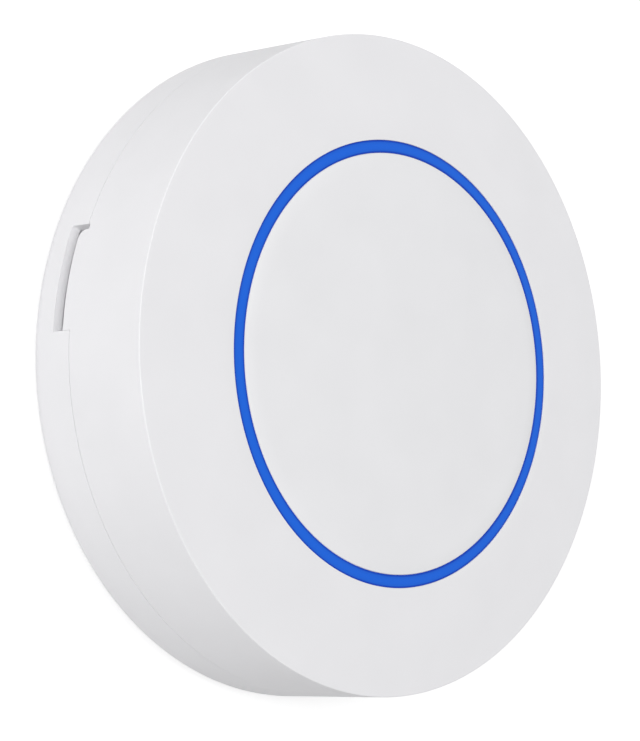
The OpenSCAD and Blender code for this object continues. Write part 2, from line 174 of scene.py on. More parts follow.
# Screws, their bosses and the frame's pegs
FRAME_T = 1.2
BOSS_D = 4.2
BOSS_RIB_GAP = 0.6
SCREW_D = 1.7
SCREW_HEAD_D = 3.2
HEAD_DOME = 0.4
HEAD_SLOPE = 1.4
HEAD_EDGE = 0.2
SCREW_TIP = 0.35
SCREW_TIP_R = 0.2
THREAD_START = 0.3
THREAD_END = 0.1
THREAD_PITCH = 0.5
THREAD_STEPS = 18
THREAD_BEAD = 0.14
THREAD_BEAD_STEPS = 6
THREAD_GAP = 0.05
PILOT_LEFT = 0.4
CROSS_W = 2.1
CROSS_T = 0.5
CROSS_DEEP = 0.5
HOLE_GAP = 0.25
PEG_D = 1.4
PEG_CIRCLE_R = 15.0
PEG_COUNT = 2
PEG_FIT = 0.05

# Tact switch
SWITCH_CORNER = 0.35
DOME_LEFT = 0.45
TRAVEL = 0.35
DOME_T = 0.15
COLLAR_R = 2.2
COLLAR_T = 0.35
PLUNGER_R = 1.7
PLUNGER_FIT = 0.08
PLUNGER_EDGE = 0.2
STAKE_R = 0.42
STAKE_CIRCLE_R = 3.4
STAKE_H = 0.2
STAKE_FIT = 0.02
STAKE_EDGE = 0.16
TERMINAL_W = 0.7
TERMINAL_PITCH = 4.0
TERMINAL_T = 0.25
TERMINAL_BEND = 0.2
TOUCH_GAP = 0.01

# Coin cell and its clip
CELL_SHEET = 0.3
CELL_STEP = 0.3
CELL_EDGE = 0.5
CELL_RIM_EDGE = 0.12
CELL_FACE_R = 7.8
CELL_FACE_W = 0.15
CELL_FACE_DEEP = 0.04
GASKET_T = 0.5
CLIP_T = 0.3
CLIP_GAP = 0.2
CLIP_BEND = 0.35
BEAD_W = 0.9
BEAD_H = 0.2
BEAD_END = 1.2
BEAD_CORNER = 0.4
BEAD_ROUND = 0.8
FOOT_HOLE_R = 0.5
FOOT_HOLE_OUT = 0.2
FOOT_HOLE_COUNT = 3
FOOT_HOLE_PITCH = 1.8

# Lamps
LAMP_W = 2.0
LAMP_DEEP = 1.0
LAMP_INSET = 0.04
LAMP_LAP = 0.02
LAMP_END_DROP = 0.22
LENS_R = 0.42
LENS_H = 0.25
LENS_EDGE = 0.2

# Radio and small parts on the boards
END_T = 0.3
END_EDGE = 0.06
TRIM_T = 0.02
CONTACT_HOLE_R = 0.3
CONTACT_COUNT = 6
CONTACT_PITCH = 1.27
CONTACT_START = 1.4
CONTACT_W = 0.9
CONTACT_IN = 0.01
CONTACT_DROP = 0.1
CAN_CORNER = 0.6
CAN_EDGE = 0.25
VENT_R = 0.32
VENT_DEEP = 0.25
VENT_COUNTS = (6, 3)
VENT_PITCH = 1.4
AERIAL_INSET = 0.03
AERIAL_LAP = 0.05
BAR_W = 0.24
BAR_SIDE = 0.02
BAR_FACE = 0.01
BAR_DEEP = 0.2
BAR_COUNT = 6
BAR_PITCH = 0.6
LID_H = 0.4
LID_INSET = 0.2
CHIP_COUNT = 5
CHIP_PITCH = 1.8
CHIP_INSET = 0.03
TEST_PAD_R = 0.6
TEST_PAD_COUNT = 7
TEST_PAD_PITCH = 1.9
TEST_PAD_OFF = 2.6

# Board lacquer: share of a track in its pitch, shares of patches, and what counts as a flat face
TRACK_SHARE = 0.35
CROSS_FROM = 0.5
TRACKED_FROM = 0.35
FLAT_FROM = 0.6

# Stage; the camera's angles are in degrees
SKY = 0.335
FLOOR_R = 3000
FLOOR_GAP = 0.02
FLOOR_WHITE_R = 400
CAMERA_AIM = (-2.1, -0.17, 4.69)
CAMERA_DISTANCE = 133.74
CAMERA_AZIMUTH = 183.39
CAMERA_RISE = 46.39
CAMERA_ROLL = 85.02
CAMERA_LENS = 71.42
CAMERA_SENSOR = 36.0
CAMERA_NEAR = 5.0

# Roundings that many small edges share
ROUND_S = 0.05
ROUND_M = 0.1
ROUND_L = 0.15
LEAST_CORNER = 0.02

# How far a piece reaches into the one that it joins, and a cutter past the face that it cuts
BITE = 0.3
SHORT_BITE = 0.2
LONG_BITE = 0.4

# Where close points hold a rounding on both sides, as shares of it, and the room that this takes
OUTLINE_HOLD = 0.4
HOLD_ROOM = 2.2
LAYER_HOLD = 1.5
RIM_HOLD = 2

# How meshes are settled: nearest points, and the least angle of a sharp edge in degrees
MERGE = 0.0005
SHARP_ANGLE = 32

# Heights of the solids
FOOT_Z = low("rear_cover")
SPIGOT_TOP_Z = high("rear_cover")
FACE_Z = high("front_shell")
RING_TOP_Z = high("light_ring")
LEG_Z = low("light_ring")
PIN_Z = low("button_disc")
POST_Z = high("switch_plunger")
BOARD_Z = low("main_board")
BOARD_TOP_Z = high("main_board")
CELL_Z = low("coin_cell_can")
CELL_TOP_Z = high("coin_cell_cap")
PAD_SEAT_Z = high("rear_pad")
LAMP_Z = high("leds")

# Worked out from the sizes above
RING_IN_R = DISC_R + DISC_GAP
RING_OUT_R = RING_IN_R + RING_W
OPENING_R = RING_OUT_R + RING_FIT
FLANGE_R = OPENING_R + FLANGE_W
FRONT_R = OPENING_R + RIM_W
REAR_R = FRONT_R + DRAFT
BORE_R = FRONT_R - WALL_T
SPIGOT_OUT_R = BORE_R - SPIGOT_FIT
SPIGOT_IN_R = SPIGOT_OUT_R - SPIGOT_T
BOSS_CIRCLE_R = (FLANGE_R + SPIGOT_IN_R) / 2
SEAL_Z = SPLIT_Z + SEAL_UP
SEAL_CIRCLE_R = BORE_R - SEAL_GAP - SEAL_D / 2
GROOVE_R = SEAL_CIRCLE_R - SEAL_D / 2 - SEAL_GAP
GROOVE_HALF = SEAL_D / 2 + SEAL_GAP
MOAT_Z = SPLIT_Z - MOAT_DEEP
SLOT_Z = SPLIT_Z - SLOT_H
SLOT_TURN = math.radians(SLOT_ANGLE)
TONGUE_Z = SPLIT_Z - TONGUE_H
FLOOR_Z = FOOT_Z + FLOOR_T
CEILING_Z = FACE_Z - FACE_T
FLANGE_Z = CEILING_Z - FLANGE_T
LIP_Z = FLANGE_Z - STOP_GAP
SKIRT_Z = LIP_Z - LIP_T
PLATE_Z = FACE_Z - PLATE_T
FRAME_TOP_Z = BOARD_TOP_Z + FRAME_T
PAD_R = high("rear_pad", 0)
CELL_R = high("coin_cell_can", 0)
BOARD_R = high("main_board", 0)
LEG_MID_R = (OPENING_R + FLANGE_R) / 2
DRAFT_ANGLE = math.atan(DRAFT / (FACE_Z - FOOT_Z))


def wall_r(z):
    """Radius of the drafted side wall at a height."""
    return REAR_R - DRAFT * (z - FOOT_Z) / (FACE_Z - FOOT_Z)


def on_wall(z):
    """The (radius, height) point of the side wall at a height."""
    return wall_r(z), z


SEAM_R = wall_r(SPLIT_Z)
MOAT_OUT_R = SEAM_R - RIM_T
TONGUE_IN_R = SEAM_R - TONGUE_T


# Outlines

def arc(x, y, r, start, end, steps=6):
    """Points of an arc about a centre, with angles in degrees."""
    angles = [math.radians(start + (end - start) * i / steps) for i in range(steps + 1)]
    return [(x + r * math.cos(a), y + r * math.sin(a)) for a in angles]


def circle(x, y, r, steps):
    """A round outline."""
    return arc(x, y, r, 0, 360 - 360 / steps, steps - 1)


def rounded(points, closed=True, steps=5):
    """An outline of (x, y, rounding) points with its corners rounded.

    Close points hold a rounding on both sides, where there is room for them."""
    out = []
    count = len(points)
    for i, (x, y, r) in enumerate(points):
        if not r or (not closed and i in (0, count - 1)):
            out.append((x, y))
            continue
        here = Vector((x, y))
        back = Vector(points[i - 1][:2]) - here
        ahead = Vector(points[(i + 1) % count][:2]) - here
        half = back.angle(ahead) / 2
        reach = r / math.tan(half)
        room = HOLD_ROOM * reach + OUTLINE_HOLD * r
        back_held, ahead_held = back.length > room, ahead.length > room
        back.normalize()
        ahead.normalize()
        centre = here + (back + ahead).normalized() * (r / math.sin(half))
        first = here + back * reach
        last = here + ahead * reach
        start, end = (math.atan2(p.y - centre.y, p.x - centre.x) for p in (first, last))
        turn = (end - start + math.pi) % math.tau - math.pi
        if back_held:
            out.append(tuple(first + back * OUTLINE_HOLD * r))
        out += arc(centre.x, centre.y, r, math.degrees(start), math.degrees(start + turn), steps)
        if ahead_held:
            out.append(tuple(last + ahead * OUTLINE_HOLD * r))
    return out


def resampled(points, step):
    """The same outline with points put in so that none of its lines is longer than a step."""
    out = [points[0]]
    for (x0, y0), (x1, y1) in zip(points, points[1:]):
        parts = max(1, math.ceil(math.hypot(x1 - x0, y1 - y0) / step))
        out += [(x0 + (x1 - x0) * i / parts, y0 + (y1 - y0) * i / parts)
                for i in range(1, parts + 1)]
    return out


def soft_fall(r, z, width, fall, steps=8):
    """Points of a flat that falls ever faster over a width, up to its end at a radius.

    It falls outwards, or inwards where the width is negative."""
    shares = [i / steps for i in range(steps + 1)]
    return [(r - width * (1 - t), z - fall * t * t) for t in shares]


def outer_edge(flat_z, edge, way, hold):
    """Outline from a flat end of the case round its edge to the wall, which goes up or down."""
    z = flat_z + way * edge
    r = wall_r(z) - edge / math.cos(DRAFT_ANGLE)
    bend = arc(r, z, edge, -90 * way, math.degrees(DRAFT_ANGLE), 12)
    return [(r - hold, flat_z)] + bend + [on_wall(z + way * hold)]


# Meshes

def add_object(name, data):
    """A new object in the scene."""
    obj = bpy.data.objects.new(name, data)
    bpy.context.scene.collection.objects.link(obj)
    return obj


def settle(mesh):
    """Merges double points, drops slivers, turns faces outwards and shades a mesh smooth."""
    bm = bmesh.new()
    bm.from_mesh(mesh)
    bmesh.ops.remove_doubles(bm, verts=bm.verts, dist=MERGE * MM)
    bmesh.ops.dissolve_degenerate(bm, edges=bm.edges, dist=MERGE * MM)
    bmesh.ops.recalc_face_normals(bm, faces=bm.faces)
    bm.to_mesh(mesh)
    bm.free()
    mesh.shade_smooth()
    mesh.set_sharp_from_angle(angle=math.radians(SHARP_ANGLE))


def put_mesh(name, bm):
    """Turns a bmesh in millimetres into an object in metres."""
    mesh = bpy.data.meshes.new(name)
    bm.to_mesh(mesh)
    bm.free()
    mesh.transform(Matrix.Scale(MM, 4))
    settle(mesh)
    return add_object(name, mesh)


def baked(obj):
    """Replaces an object's mesh by what its modifiers make of it."""
    graph = bpy.context.evaluated_depsgraph_get()
    mesh = bpy.data.meshes.new_from_object(obj.evaluated_get(graph), depsgraph=graph)
    obj.modifiers.clear()
    obj.data = mesh
    mesh.name = obj.name
    settle(mesh)
    return obj


def joined(obj, tool, how="UNION"):
    """Adds another closed piece to a piece and removes it."""
    mod = obj.modifiers.new("join", "BOOLEAN")
    mod.operation = how
    mod.solver = "EXACT"
    mod.object = tool
    baked(obj)
    bpy.data.objects.remove(tool)
    return obj


def cut(obj, tool):
    """Cuts another closed piece away from a piece and removes it."""
    return joined(obj, tool, "DIFFERENCE")


def column_piece(name, columns):
    """A closed piece from outlines that stand round the axis, of (angle, radius, height) points."""
    bm = bmesh.new()
    rows = []
    for column in columns:
        rows.append([bm.verts.new((r * math.cos(a), r * math.sin(a), z)) for a, r, z in column])
    for left, right in zip(rows, rows[1:] + rows[:1]):
        for i in range(len(left)):
            j = (i + 1) % len(left)
            bm.faces.new((left[i], right[i], right[j], left[j]))
    return put_mesh(name, bm)


def stacked(name, rows):
    """A closed piece from outlines that lie on each other, each a list of as many points."""
    bm = bmesh.new()
    rows = [[bm.verts.new(point) for point in row] for row in rows]
    bm.faces.new(rows[0][::-1])
    bm.faces.new(rows[-1])
    for below, above in zip(rows, rows[1:]):
        for i in range(len(below)):
            j = (i + 1) % len(below)
            bm.faces.new((below[i], below[j], above[j], above[i]))
    return put_mesh(name, bm)


def edge_bend(edge, steps, hold):
    """How far a rounded edge lies inside its side and its flat, from the flat to the side.

    A close point holds it on both, at a share of its rounding."""
    turns = [math.radians(90 * i / steps) for i in range(steps + 1)]
    bend = [(edge * (1 - math.sin(a)), edge * (1 - math.cos(a))) for a in turns]
    return [(hold * edge, 0.0)] + bend + [(0.0, hold * edge)]


def edge_layers(edge, z, way, steps=3):
    """Insets and heights of the layers of a rounded edge, from its flat at a height to its side."""
    if not edge:
        return [(0.0, z)]
    return [(inset, z + way * rise) for inset, rise in edge_bend(edge, steps, LAYER_HOLD)]


def soft_prism(name, outline_at, z0, z1, edge0, edge1):
    """A prism with rounded lower and upper edges, on an outline that is given for any inset."""
    layers = edge_layers(edge0, z0, 1) + edge_layers(edge1, z1, -1)[::-1]
    return stacked(name, [[(x, y, z) for x, y in outline_at(inset)] for inset, z in layers])


def round_post(name, x, r, z0, z1, edge0=0.0, edge1=0.0, steps=48):
    """A round post off the axis along X, with rounded lower and upper edges."""
    return soft_prism(name, lambda inset: circle(x, 0, r - inset, steps), z0, z1, edge0, edge1)


def drill(name, x, r, z0, z1, steps=48):
    """A round cutter off the axis along X, past both faces of what it cuts."""
    return round_post(name, x, r, z0 - BITE, z1 + BITE, steps=steps)


def soft_box(name, x0, y0, x1, y1, z0, z1, corner=LEAST_CORNER, edge0=0.0, edge1=0.0, steps=4):
    """A block with rounded corners, and rounded lower and upper edges."""
    def outline_at(inset):
        r = max(LEAST_CORNER, corner - inset)
        ax, ay, bx, by = x0 + inset + r, y0 + inset + r, x1 - inset - r, y1 - inset - r
        out = []
        for x, y, start in ((bx, ay, -90), (bx, by, 0), (ax, by, 90), (ax, ay, 180)):
            out += arc(x, y, r, start, start + 90, steps)
        return out

    return soft_prism(name, outline_at, z0, z1, edge0, edge1)


def strip(name, path, thick, half, bend):
    """A bent metal strip on a path of (x, z) points, as far to both sides as its half width."""
    points = [Vector(p) for p in rounded([(x, z, bend) for x, z in path], closed=False, steps=6)]
    rows = []
    for i, here in enumerate(points):
        back = (here - points[i - 1]).normalized() if i else Vector((0, 0))
        ahead = (points[i + 1] - here).normalized() if i + 1 < len(points) else Vector((0, 0))
        along = (back + ahead).normalized()
        side = Vector((-along.y, along.x)) * thick / 2
        (ax, az), (bx, bz) = here + side, here - side
        rows.append([(ax, -half, az), (ax, half, az), (bx, half, bz), (bx, -half, bz)])
    return stacked(name, rows)


# Node trees that make turned pieces, rings and rows of copies, and threads

def add_node(tree, kind, inputs=None, out=0, **settings):
    """Adds a node with its settings, and gives one of its outputs.

    The inputs are given as values or as sockets to link."""
    node = tree.nodes.new(kind)
    for key, value in settings.items():
        setattr(node, key, value)
    for key, value in (inputs or {}).items():
        if isinstance(value, bpy.types.NodeSocket):
            tree.links.new(value, node.inputs[key])
        else:
            node.inputs[key].default_value = value
    return node.outputs[out]


def number(tree, operation, *values):
    """A step of arithmetic on numbers or sockets."""
    return add_node(tree, "ShaderNodeMath", dict(enumerate(values)), operation=operation)


def start_tree(name, inputs):
    """A geometry tree with its named inputs, and the sockets that bring them in."""
    tree = bpy.data.node_groups.new(name, "GeometryNodeTree")
    kinds = {"Geometry": "Geometry", **inputs, "Finish": "Material"}
    for label, kind in kinds.items():
        tree.interface.new_socket(label, in_out="INPUT", socket_type="NodeSocket" + kind)
    tree.interface.new_socket("Geometry", in_out="OUTPUT", socket_type="NodeSocketGeometry")
    return tree, tree.nodes.new("NodeGroupInput").outputs


def end_tree(tree, geometry, given):
    """Ends a tree with smooth shading, real geometry and its finish."""
    smooth = add_node(tree, "GeometryNodeSetShadeSmooth", {"Geometry": geometry})
    real = add_node(tree, "GeometryNodeRealizeInstances", {"Geometry": smooth})
    painted = add_node(tree, "GeometryNodeSetMaterial", {
        "Geometry": real, "Material": given["Finish"]})
    tree.links.new(painted, tree.nodes.new("NodeGroupOutput").inputs[0])
    return tree


def make_turned_tree():
    """Runs an outline, drawn as radius and height, round the axis."""
    tree, given = start_tree("turned_piece", {"Path Radius": "Float", "Turn Steps": "Int"})
    outline = add_node(tree, "GeometryNodeMeshToCurve", {"Mesh": given["Geometry"]})
    path = add_node(tree, "GeometryNodeCurvePrimitiveCircle", {
        "Resolution": given["Turn Steps"], "Radius": given["Path Radius"]})
    level = add_node(tree, "GeometryNodeSetCurveNormal", {"Curve": path}, mode="Z_UP")
    swept = add_node(tree, "GeometryNodeCurveToMesh", {"Curve": level, "Profile Curve": outline})
    merged = add_node(tree, "GeometryNodeMergeByDistance", {
        "Geometry": swept, "Distance": MERGE * MM})
    return end_tree(tree, merged, given)


def make_ring_tree():
    """Copies a piece evenly round the axis."""
    tree, given = start_tree("ring_of_copies", {"Count": "Int", "Start": "Float"})
    points = add_node(tree, "GeometryNodePoints", {"Count": given["Count"]})
    index = add_node(tree, "GeometryNodeInputIndex")
    step = number(tree, "DIVIDE", math.tau, given["Count"])
    angle = number(tree, "MULTIPLY_ADD", index, step, given["Start"])
    turn = add_node(tree, "ShaderNodeCombineXYZ", {"Z": angle})
    copies = add_node(tree, "GeometryNodeInstanceOnPoints", {
        "Points": points, "Instance": given["Geometry"], "Rotation": turn})
    return end_tree(tree, copies, given)


def make_row_tree():
    """Copies a piece along a straight row."""
    tree, given = start_tree("row_of_copies", {
        "Count": "Int", "Start": "Vector", "Step": "Vector"})
    points = add_node(tree, "GeometryNodeMeshLine", {
        "Count": given["Count"], "Start Location": given["Start"], "Offset": given["Step"]})
    copies = add_node(tree, "GeometryNodeInstanceOnPoints", {
        "Points": points, "Instance": given["Geometry"]})
    return end_tree(tree, copies, given)


def make_thread_tree():
    """Winds a round bead up the axis of a screw and adds it to what is given."""
    tree, given = start_tree("screw_thread", {
        "Turns": "Float", "Radius": "Float", "Length": "Float", "Bead Radius": "Float",
        "Start": "Vector"})
    path = add_node(tree, "GeometryNodeCurveSpiral", {
        "Resolution": THREAD_STEPS, "Rotations": given["Turns"], "Start Radius": given["Radius"],
        "End Radius": given["Radius"], "Height": given["Length"]})
    bead = add_node(tree, "GeometryNodeCurvePrimitiveCircle", {
        "Resolution": THREAD_BEAD_STEPS, "Radius": given["Bead Radius"]})
    wound = add_node(tree, "GeometryNodeCurveToMesh", {
        "Curve": path, "Profile Curve": bead, "Fill Caps": True})
    placed = add_node(tree, "GeometryNodeTransform", {
        "Geometry": wound, "Translation": given["Start"]})
    both = add_node(tree, "GeometryNodeJoinGeometry", {"Geometry": placed})
    tree.links.new(given["Geometry"], both.node.inputs["Geometry"])
    return end_tree(tree, both, given)


TURNED = make_turned_tree()
RING = make_ring_tree()
ROW = make_row_tree()
THREAD = make_thread_tree()


def run_tree(obj, tree, values):
    """Puts a piece through a tree, with the tree's named inputs set, and keeps the plain mesh."""
    mod = obj.modifiers.new("make", "NODES")
    mod.node_group = tree
    for item in tree.interface.items_tree:
        if item.item_type == "SOCKET" and item.in_out == "INPUT" and item.name in values:
            mod[item.identifier] = values[item.name]
    return baked(obj)


def turned(name, outline, finish, closed=True, steps=192):
    """A piece turned round the axis from an outline of (radius, height) points."""
    path_r = max(r for r, z in outline)
    mesh = bpy.data.meshes.new(name)
    edges = [(i, i + 1) for i in range(len(outline) - 1)]
    if closed:
        edges.append((len(outline) - 1, 0))
    mesh.from_pydata([((r - path_r) * MM, -z * MM, 0) for r, z in outline], edges, [])
    return run_tree(add_object(name, mesh), TURNED, {
        "Path Radius": path_r * MM, "Turn Steps": steps, "Finish": finish})


def ring_of(obj, count, start, finish):
    """Copies a piece evenly round the axis, from a start angle in degrees."""
    return run_tree(obj, RING, {"Count": count, "Start": math.radians(start), "Finish": finish})


def row_of(obj, count, step, finish, start=(0, 0, 0)):
    """Copies a piece along a row, with its step and start given in millimetres."""
    return run_tree(obj, ROW, {
        "Count": count, "Start": [v * MM for v in start], "Step": [v * MM for v in step],
        "Finish": finish})


def row_start(count, pitch):
    """Where a row starts that has its middle at zero."""
    return -pitch * (count - 1) / 2


# Finishes

def start_finish(name, fixed=None):
    """A new material with fixed values on its shader, its tree and its coordinates."""
    mat = bpy.data.materials.new(name)
    mat.use_nodes = True
    tree = mat.node_tree
    for socket, value in (fixed or {}).items():
        tree.nodes["Principled BSDF"].inputs[socket].default_value = value
    return mat, tree, add_node(tree, "ShaderNodeTexCoord", out="Object")


def drive(tree, socket, value):
    """Links what a tree works out to a socket of its shader."""
    tree.links.new(value, tree.nodes["Principled BSDF"].inputs[socket])


def paint(tree, socket, factor, stops):
    """Drives a shader's socket by a ramp of (position, colour) stops, where a number is a grey."""
    out = add_node(tree, "ShaderNodeValToRGB", {"Fac": factor})
    points = out.node.color_ramp.elements
    while len(points) < len(stops):
        points.new(0.5)
    for point, (at, colour) in zip(points, stops):
        point.position = at
        point.color = (*colour, 1) if isinstance(colour, tuple) else (colour, colour, colour, 1)
    drive(tree, socket, out)


def vary(tree, socket, noise, least, most):
    """Lets a noise move a shader's socket between two values."""
    paint(tree, socket, noise, [(0.3, least), (0.7, most)])


def grain(tree, place, size, detail=3.0, roughness=0.5):
    """Noise whose features are about a size in millimetres."""
    return add_node(tree, "ShaderNodeTexNoise", {
        "Vector": place, "Scale": 1 / (size * MM), "Detail": detail, "Roughness": roughness})


def relief(tree, height, depth, strength=1.0):
    """Gives a shader a bump of a depth in millimetres."""
    drive(tree, "Normal", add_node(tree, "ShaderNodeBump", {
        "Height": height, "Distance": depth * MM, "Strength": strength}))


def shaded(colour, factor):
    """A colour made lighter or darker."""
    return tuple(min(1.0, c * factor) for c in colour)


def from_axis(tree, place):
    """How far a place is from the axis of the case, in metres."""
    flat = add_node(tree, "ShaderNodeVectorMath", {0: place, 1: (1, 1, 0)}, operation="MULTIPLY")
    return add_node(tree, "ShaderNodeVectorMath", {0: flat}, out="Value", operation="LENGTH")


def moulded(name, colour, rough, grain_size=0.16, grain_deep=0.004, spread=0.012, shine=0.5):
    """Moulded plastic with a fine matt grain, and colour and gloss that drift a little."""
    mat, tree, place = start_finish(name, {"Specular IOR Level": shine})
    drift = grain(tree, place, 7.0, detail=2.0)
    vary(tree, "Base Color", drift, shaded(colour, 1 - spread), shaded(colour, 1 + spread))
    vary(tree, "Roughness", grain(tree, place, 0.9, detail=4.0), rough - 0.04, rough + 0.05)
    relief(tree, grain(tree, place, grain_size, detail=2.0), grain_deep)
    return mat


def metal(name, colour, rough, marks=(1, 1, 1)):
    """Bare metal with fine marks that run the way a stretch of its coordinates says."""
    mat, tree, place = start_finish(name, {"Metallic": 1.0})
    stretched = add_node(tree, "ShaderNodeMapping", {"Vector": place, "Scale": marks})
    fine = grain(tree, stretched, 0.05, detail=4.0, roughness=0.6)
    vary(tree, "Base Color", grain(tree, place, 3.0), shaded(colour, 0.9), shaded(colour, 1.06))
    vary(tree, "Roughness", fine, rough - 0.07, rough + 0.1)
    relief(tree, fine, 0.002)
    return mat


def spun_metal(name, colour, rough):
    """Sheet metal with fine round marks about the axis."""
    mat, tree, place = start_finish(name, {"Metallic": 1.0})
    line = add_node(tree, "ShaderNodeCombineXYZ", {"X": from_axis(tree, place)})
    fine = grain(tree, line, 0.12, detail=4.0, roughness=0.7)
    vary(tree, "Base Color", grain(tree, place, 5.0), shaded(colour, 0.93), shaded(colour, 1.04))
    vary(tree, "Roughness", fine, rough - 0.06, rough + 0.08)
    relief(tree, fine, 0.003)
    return mat


def solder_mask(name, colour, cell, pitch, bare_edge=(0.34, 0.29, 0.17)):
    """Lacquered circuit board: patches of tracks that show through the lacquer, and a bare edge."""
    mat, tree, place = start_finish(name)
    along = add_node(tree, "ShaderNodeSeparateXYZ", {"Vector": place}).node.outputs

    def lines(axis):
        run = number(tree, "FRACT", number(tree, "MULTIPLY", along[axis], 1 / (pitch * MM)))
        return number(tree, "LESS_THAN", run, TRACK_SHARE)

    patches = add_node(tree, "ShaderNodeTexVoronoi", {"Vector": place, "Scale": 1 / (cell * MM)},
                       out="Color", distance="CHEBYCHEV", voronoi_dimensions="2D")
    pick = add_node(tree, "ShaderNodeSeparateColor", {"Color": patches}).node.outputs
    cross = number(tree, "GREATER_THAN", pick["Red"], CROSS_FROM)
    tracked = number(tree, "GREATER_THAN", pick["Green"], TRACKED_FROM)
    first = number(tree, "MULTIPLY", lines(0), cross)
    second = number(tree, "MULTIPLY", lines(1), number(tree, "SUBTRACT", 1.0, cross))
    track = number(tree, "MULTIPLY", number(tree, "ADD", first, second), tracked)
    normal = add_node(tree, "ShaderNodeNewGeometry", out="Normal")
    facing = add_node(tree, "ShaderNodeSeparateXYZ", {"Vector": normal}, out="Z")
    flat = number(tree, "GREATER_THAN", number(tree, "ABSOLUTE", facing), FLAT_FROM)
    kind = number(tree, "MULTIPLY", flat, number(tree, "MULTIPLY_ADD", track, 0.5, 0.5))
    paint(tree, "Base Color", kind, [
        (0.1, bare_edge), (0.4, colour), (0.6, colour), (0.9, shaded(colour, 2.1))])
    vary(tree, "Roughness", grain(tree, place, 0.6), 0.24, 0.36)
    relief(tree, track, 0.02, 0.6)
    return mat


def make_foam():
    """Soft closed foam: small cells, and a colour that drifts."""
    mat, tree, place = start_finish("pad_foam")
    cells = add_node(tree, "ShaderNodeTexVoronoi", {"Vector": place, "Scale": 1 / (0.35 * MM)})
    drift = grain(tree, place, 5.0)
    vary(tree, "Base Color", drift, (0.043, 0.044, 0.047), (0.06, 0.061, 0.065))
    paint(tree, "Roughness", cells, [(0.1, 0.75), (0.6, 0.92)])
    relief(tree, cells, 0.05)
    return mat


def make_ring_blue():
    """Tinted light pipe plastic with a faint noisy swirl in it, and painted shade: a darker blue
    along both edges, in place of the shade in the recess that the ring sits in.
    """
    mat, tree, place = start_finish("ring_blue_plastic", {
        "Specular IOR Level": 0.1, "Emission Color": (0.01, 0.12, 0.66, 1),
        "Emission Strength": 0.06})
    middle = (RING_IN_R + RING_OUT_R) / 2 * MM
    off = number(tree, "ABSOLUTE", number(tree, "SUBTRACT", from_axis(tree, place), middle))
    share = number(tree, "DIVIDE", off, RING_W / 2 * MM)
    flow_and_edge_shade = number(tree, "MULTIPLY_ADD", grain(tree, place, 4.0, detail=2.0), 0.1, share)
    # Painted shade: the ramp turns a darker blue towards both edges of the ring, standing in for
    # the shade of its recess
    paint(tree, "Base Color", flow_and_edge_shade, [
        (0.3, (0.013, 0.124, 0.67)), (0.68, (0.012, 0.113, 0.62)), (0.88, (0.005, 0.05, 0.44))])
    vary(tree, "Roughness", grain(tree, place, 0.5), 0.3, 0.4)
    relief(tree, grain(tree, place, 0.3), 0.002)
    return mat


CASE_WHITE = moulded("case_white_plastic", (0.823, 0.82, 0.838), 0.55, shine=0.15)
DISC_WHITE = moulded("disc_white_plastic", (0.815, 0.815, 0.831), 0.57, shine=0.15)
FRAME_GREY = moulded("frame_grey_plastic", (0.48, 0.5, 0.53), 0.45)
BLACK = moulded("black_plastic", (0.02, 0.02, 0.021), 0.4)
RUBBER = moulded("seal_rubber", (0.02, 0.02, 0.021), 0.55, 0.1, 0.006, 0.1)
RESIN = moulded("lamp_resin", (0.82, 0.79, 0.62), 0.16, 0.4, 0.001, 0.03)
CERAMIC = moulded("aerial_ceramic", (0.8, 0.77, 0.68), 0.6, 0.08, 0.006, 0.04)
CHIP = moulded("chip_ceramic", (0.3, 0.2, 0.1), 0.5, 0.08, 0.006, 0.08)
FOAM = make_foam()
RING_BLUE = make_ring_blue()
STEEL = metal("tinned_steel", (0.62, 0.62, 0.63), 0.3, marks=(0.12, 1, 1))
SCREW_STEEL = metal("screw_steel", (0.58, 0.58, 0.6), 0.27)
GOLD = metal("gold_plating", (0.83, 0.6, 0.22), 0.28)
NICKEL = spun_metal("cell_nickel", (0.66, 0.655, 0.64), 0.26)
BOARD_MASK = solder_mask("board_lacquer", (0.012, 0.085, 0.04), 4.2, 0.7)
RADIO_MASK = solder_mask("radio_lacquer", (0.012, 0.03, 0.1), 2.4, 0.5)


def put(obj, body, node, finish):
    """Gives a finished piece its finish and its body, and hides the solid that it stands for, if
    any.
    """
    obj.data.materials.clear()
    obj.data.materials.append(finish)
    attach(obj, body)
    if node:
        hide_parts(node)


# Case halves, made of columns round the axis

# A column stands at an angle, and meets the parting edge at a place along the slot and a height.
# The push points into the material there.
Column = namedtuple("Column", "angle along z push_along push_up")


def slot_columns(path, side, foot_at=None):
    """The columns of a case half, from the outline of its parting edge at the pry slot.

    The foot of a column is given by a rule, or spread evenly along the path."""
    split_z = path[0][1]
    path = resampled(path, SLOT_PATH_STEP)
    lengths = [0.0]
    for (x0, y0), (x1, y1) in zip(path, path[1:]):
        lengths.append(lengths[-1] + math.hypot(x1 - x0, y1 - y0))
    columns = []
    for i, (along, z) in enumerate(path):
        x0, y0 = path[max(i - 1, 0)]
        x1, y1 = path[min(i + 1, len(path) - 1)]
        run = math.hypot(x1 - x0, y1 - y0)
        push = (-(y1 - y0) / run * side, (x1 - x0) / run * side)
        even = SLOT_SPREAD * (2 * lengths[i] / lengths[-1] - 1)
        foot = foot_at(along, z) if foot_at else even
        columns.append(Column(SLOT_TURN + foot / SEAM_R, along, z, *push))
    reach = SLOT_SPREAD / SEAM_R
    for i in range(1, CASE_STEPS):
        angle = SLOT_TURN + reach + (math.tau - 2 * reach) * i / CASE_STEPS
        columns.append(Column(angle, (angle - SLOT_TURN) * SEAM_R, split_z, 0.0, float(side)))
    return columns


def notch_foot(along, z):
    """Where the column of a place on the notch's edge stands, so that no two columns cross."""
    beyond = abs(along) - SLOT_W / 2
    if beyond < 0:
        return along
    closer = 1 - SLOT_FAN / (SLOT_SPREAD - SLOT_W / 2)
    fan = SLOT_FAN * (z - SLOT_Z) / SLOT_H
    return math.copysign(SLOT_W / 2 + fan + beyond * closer, along)


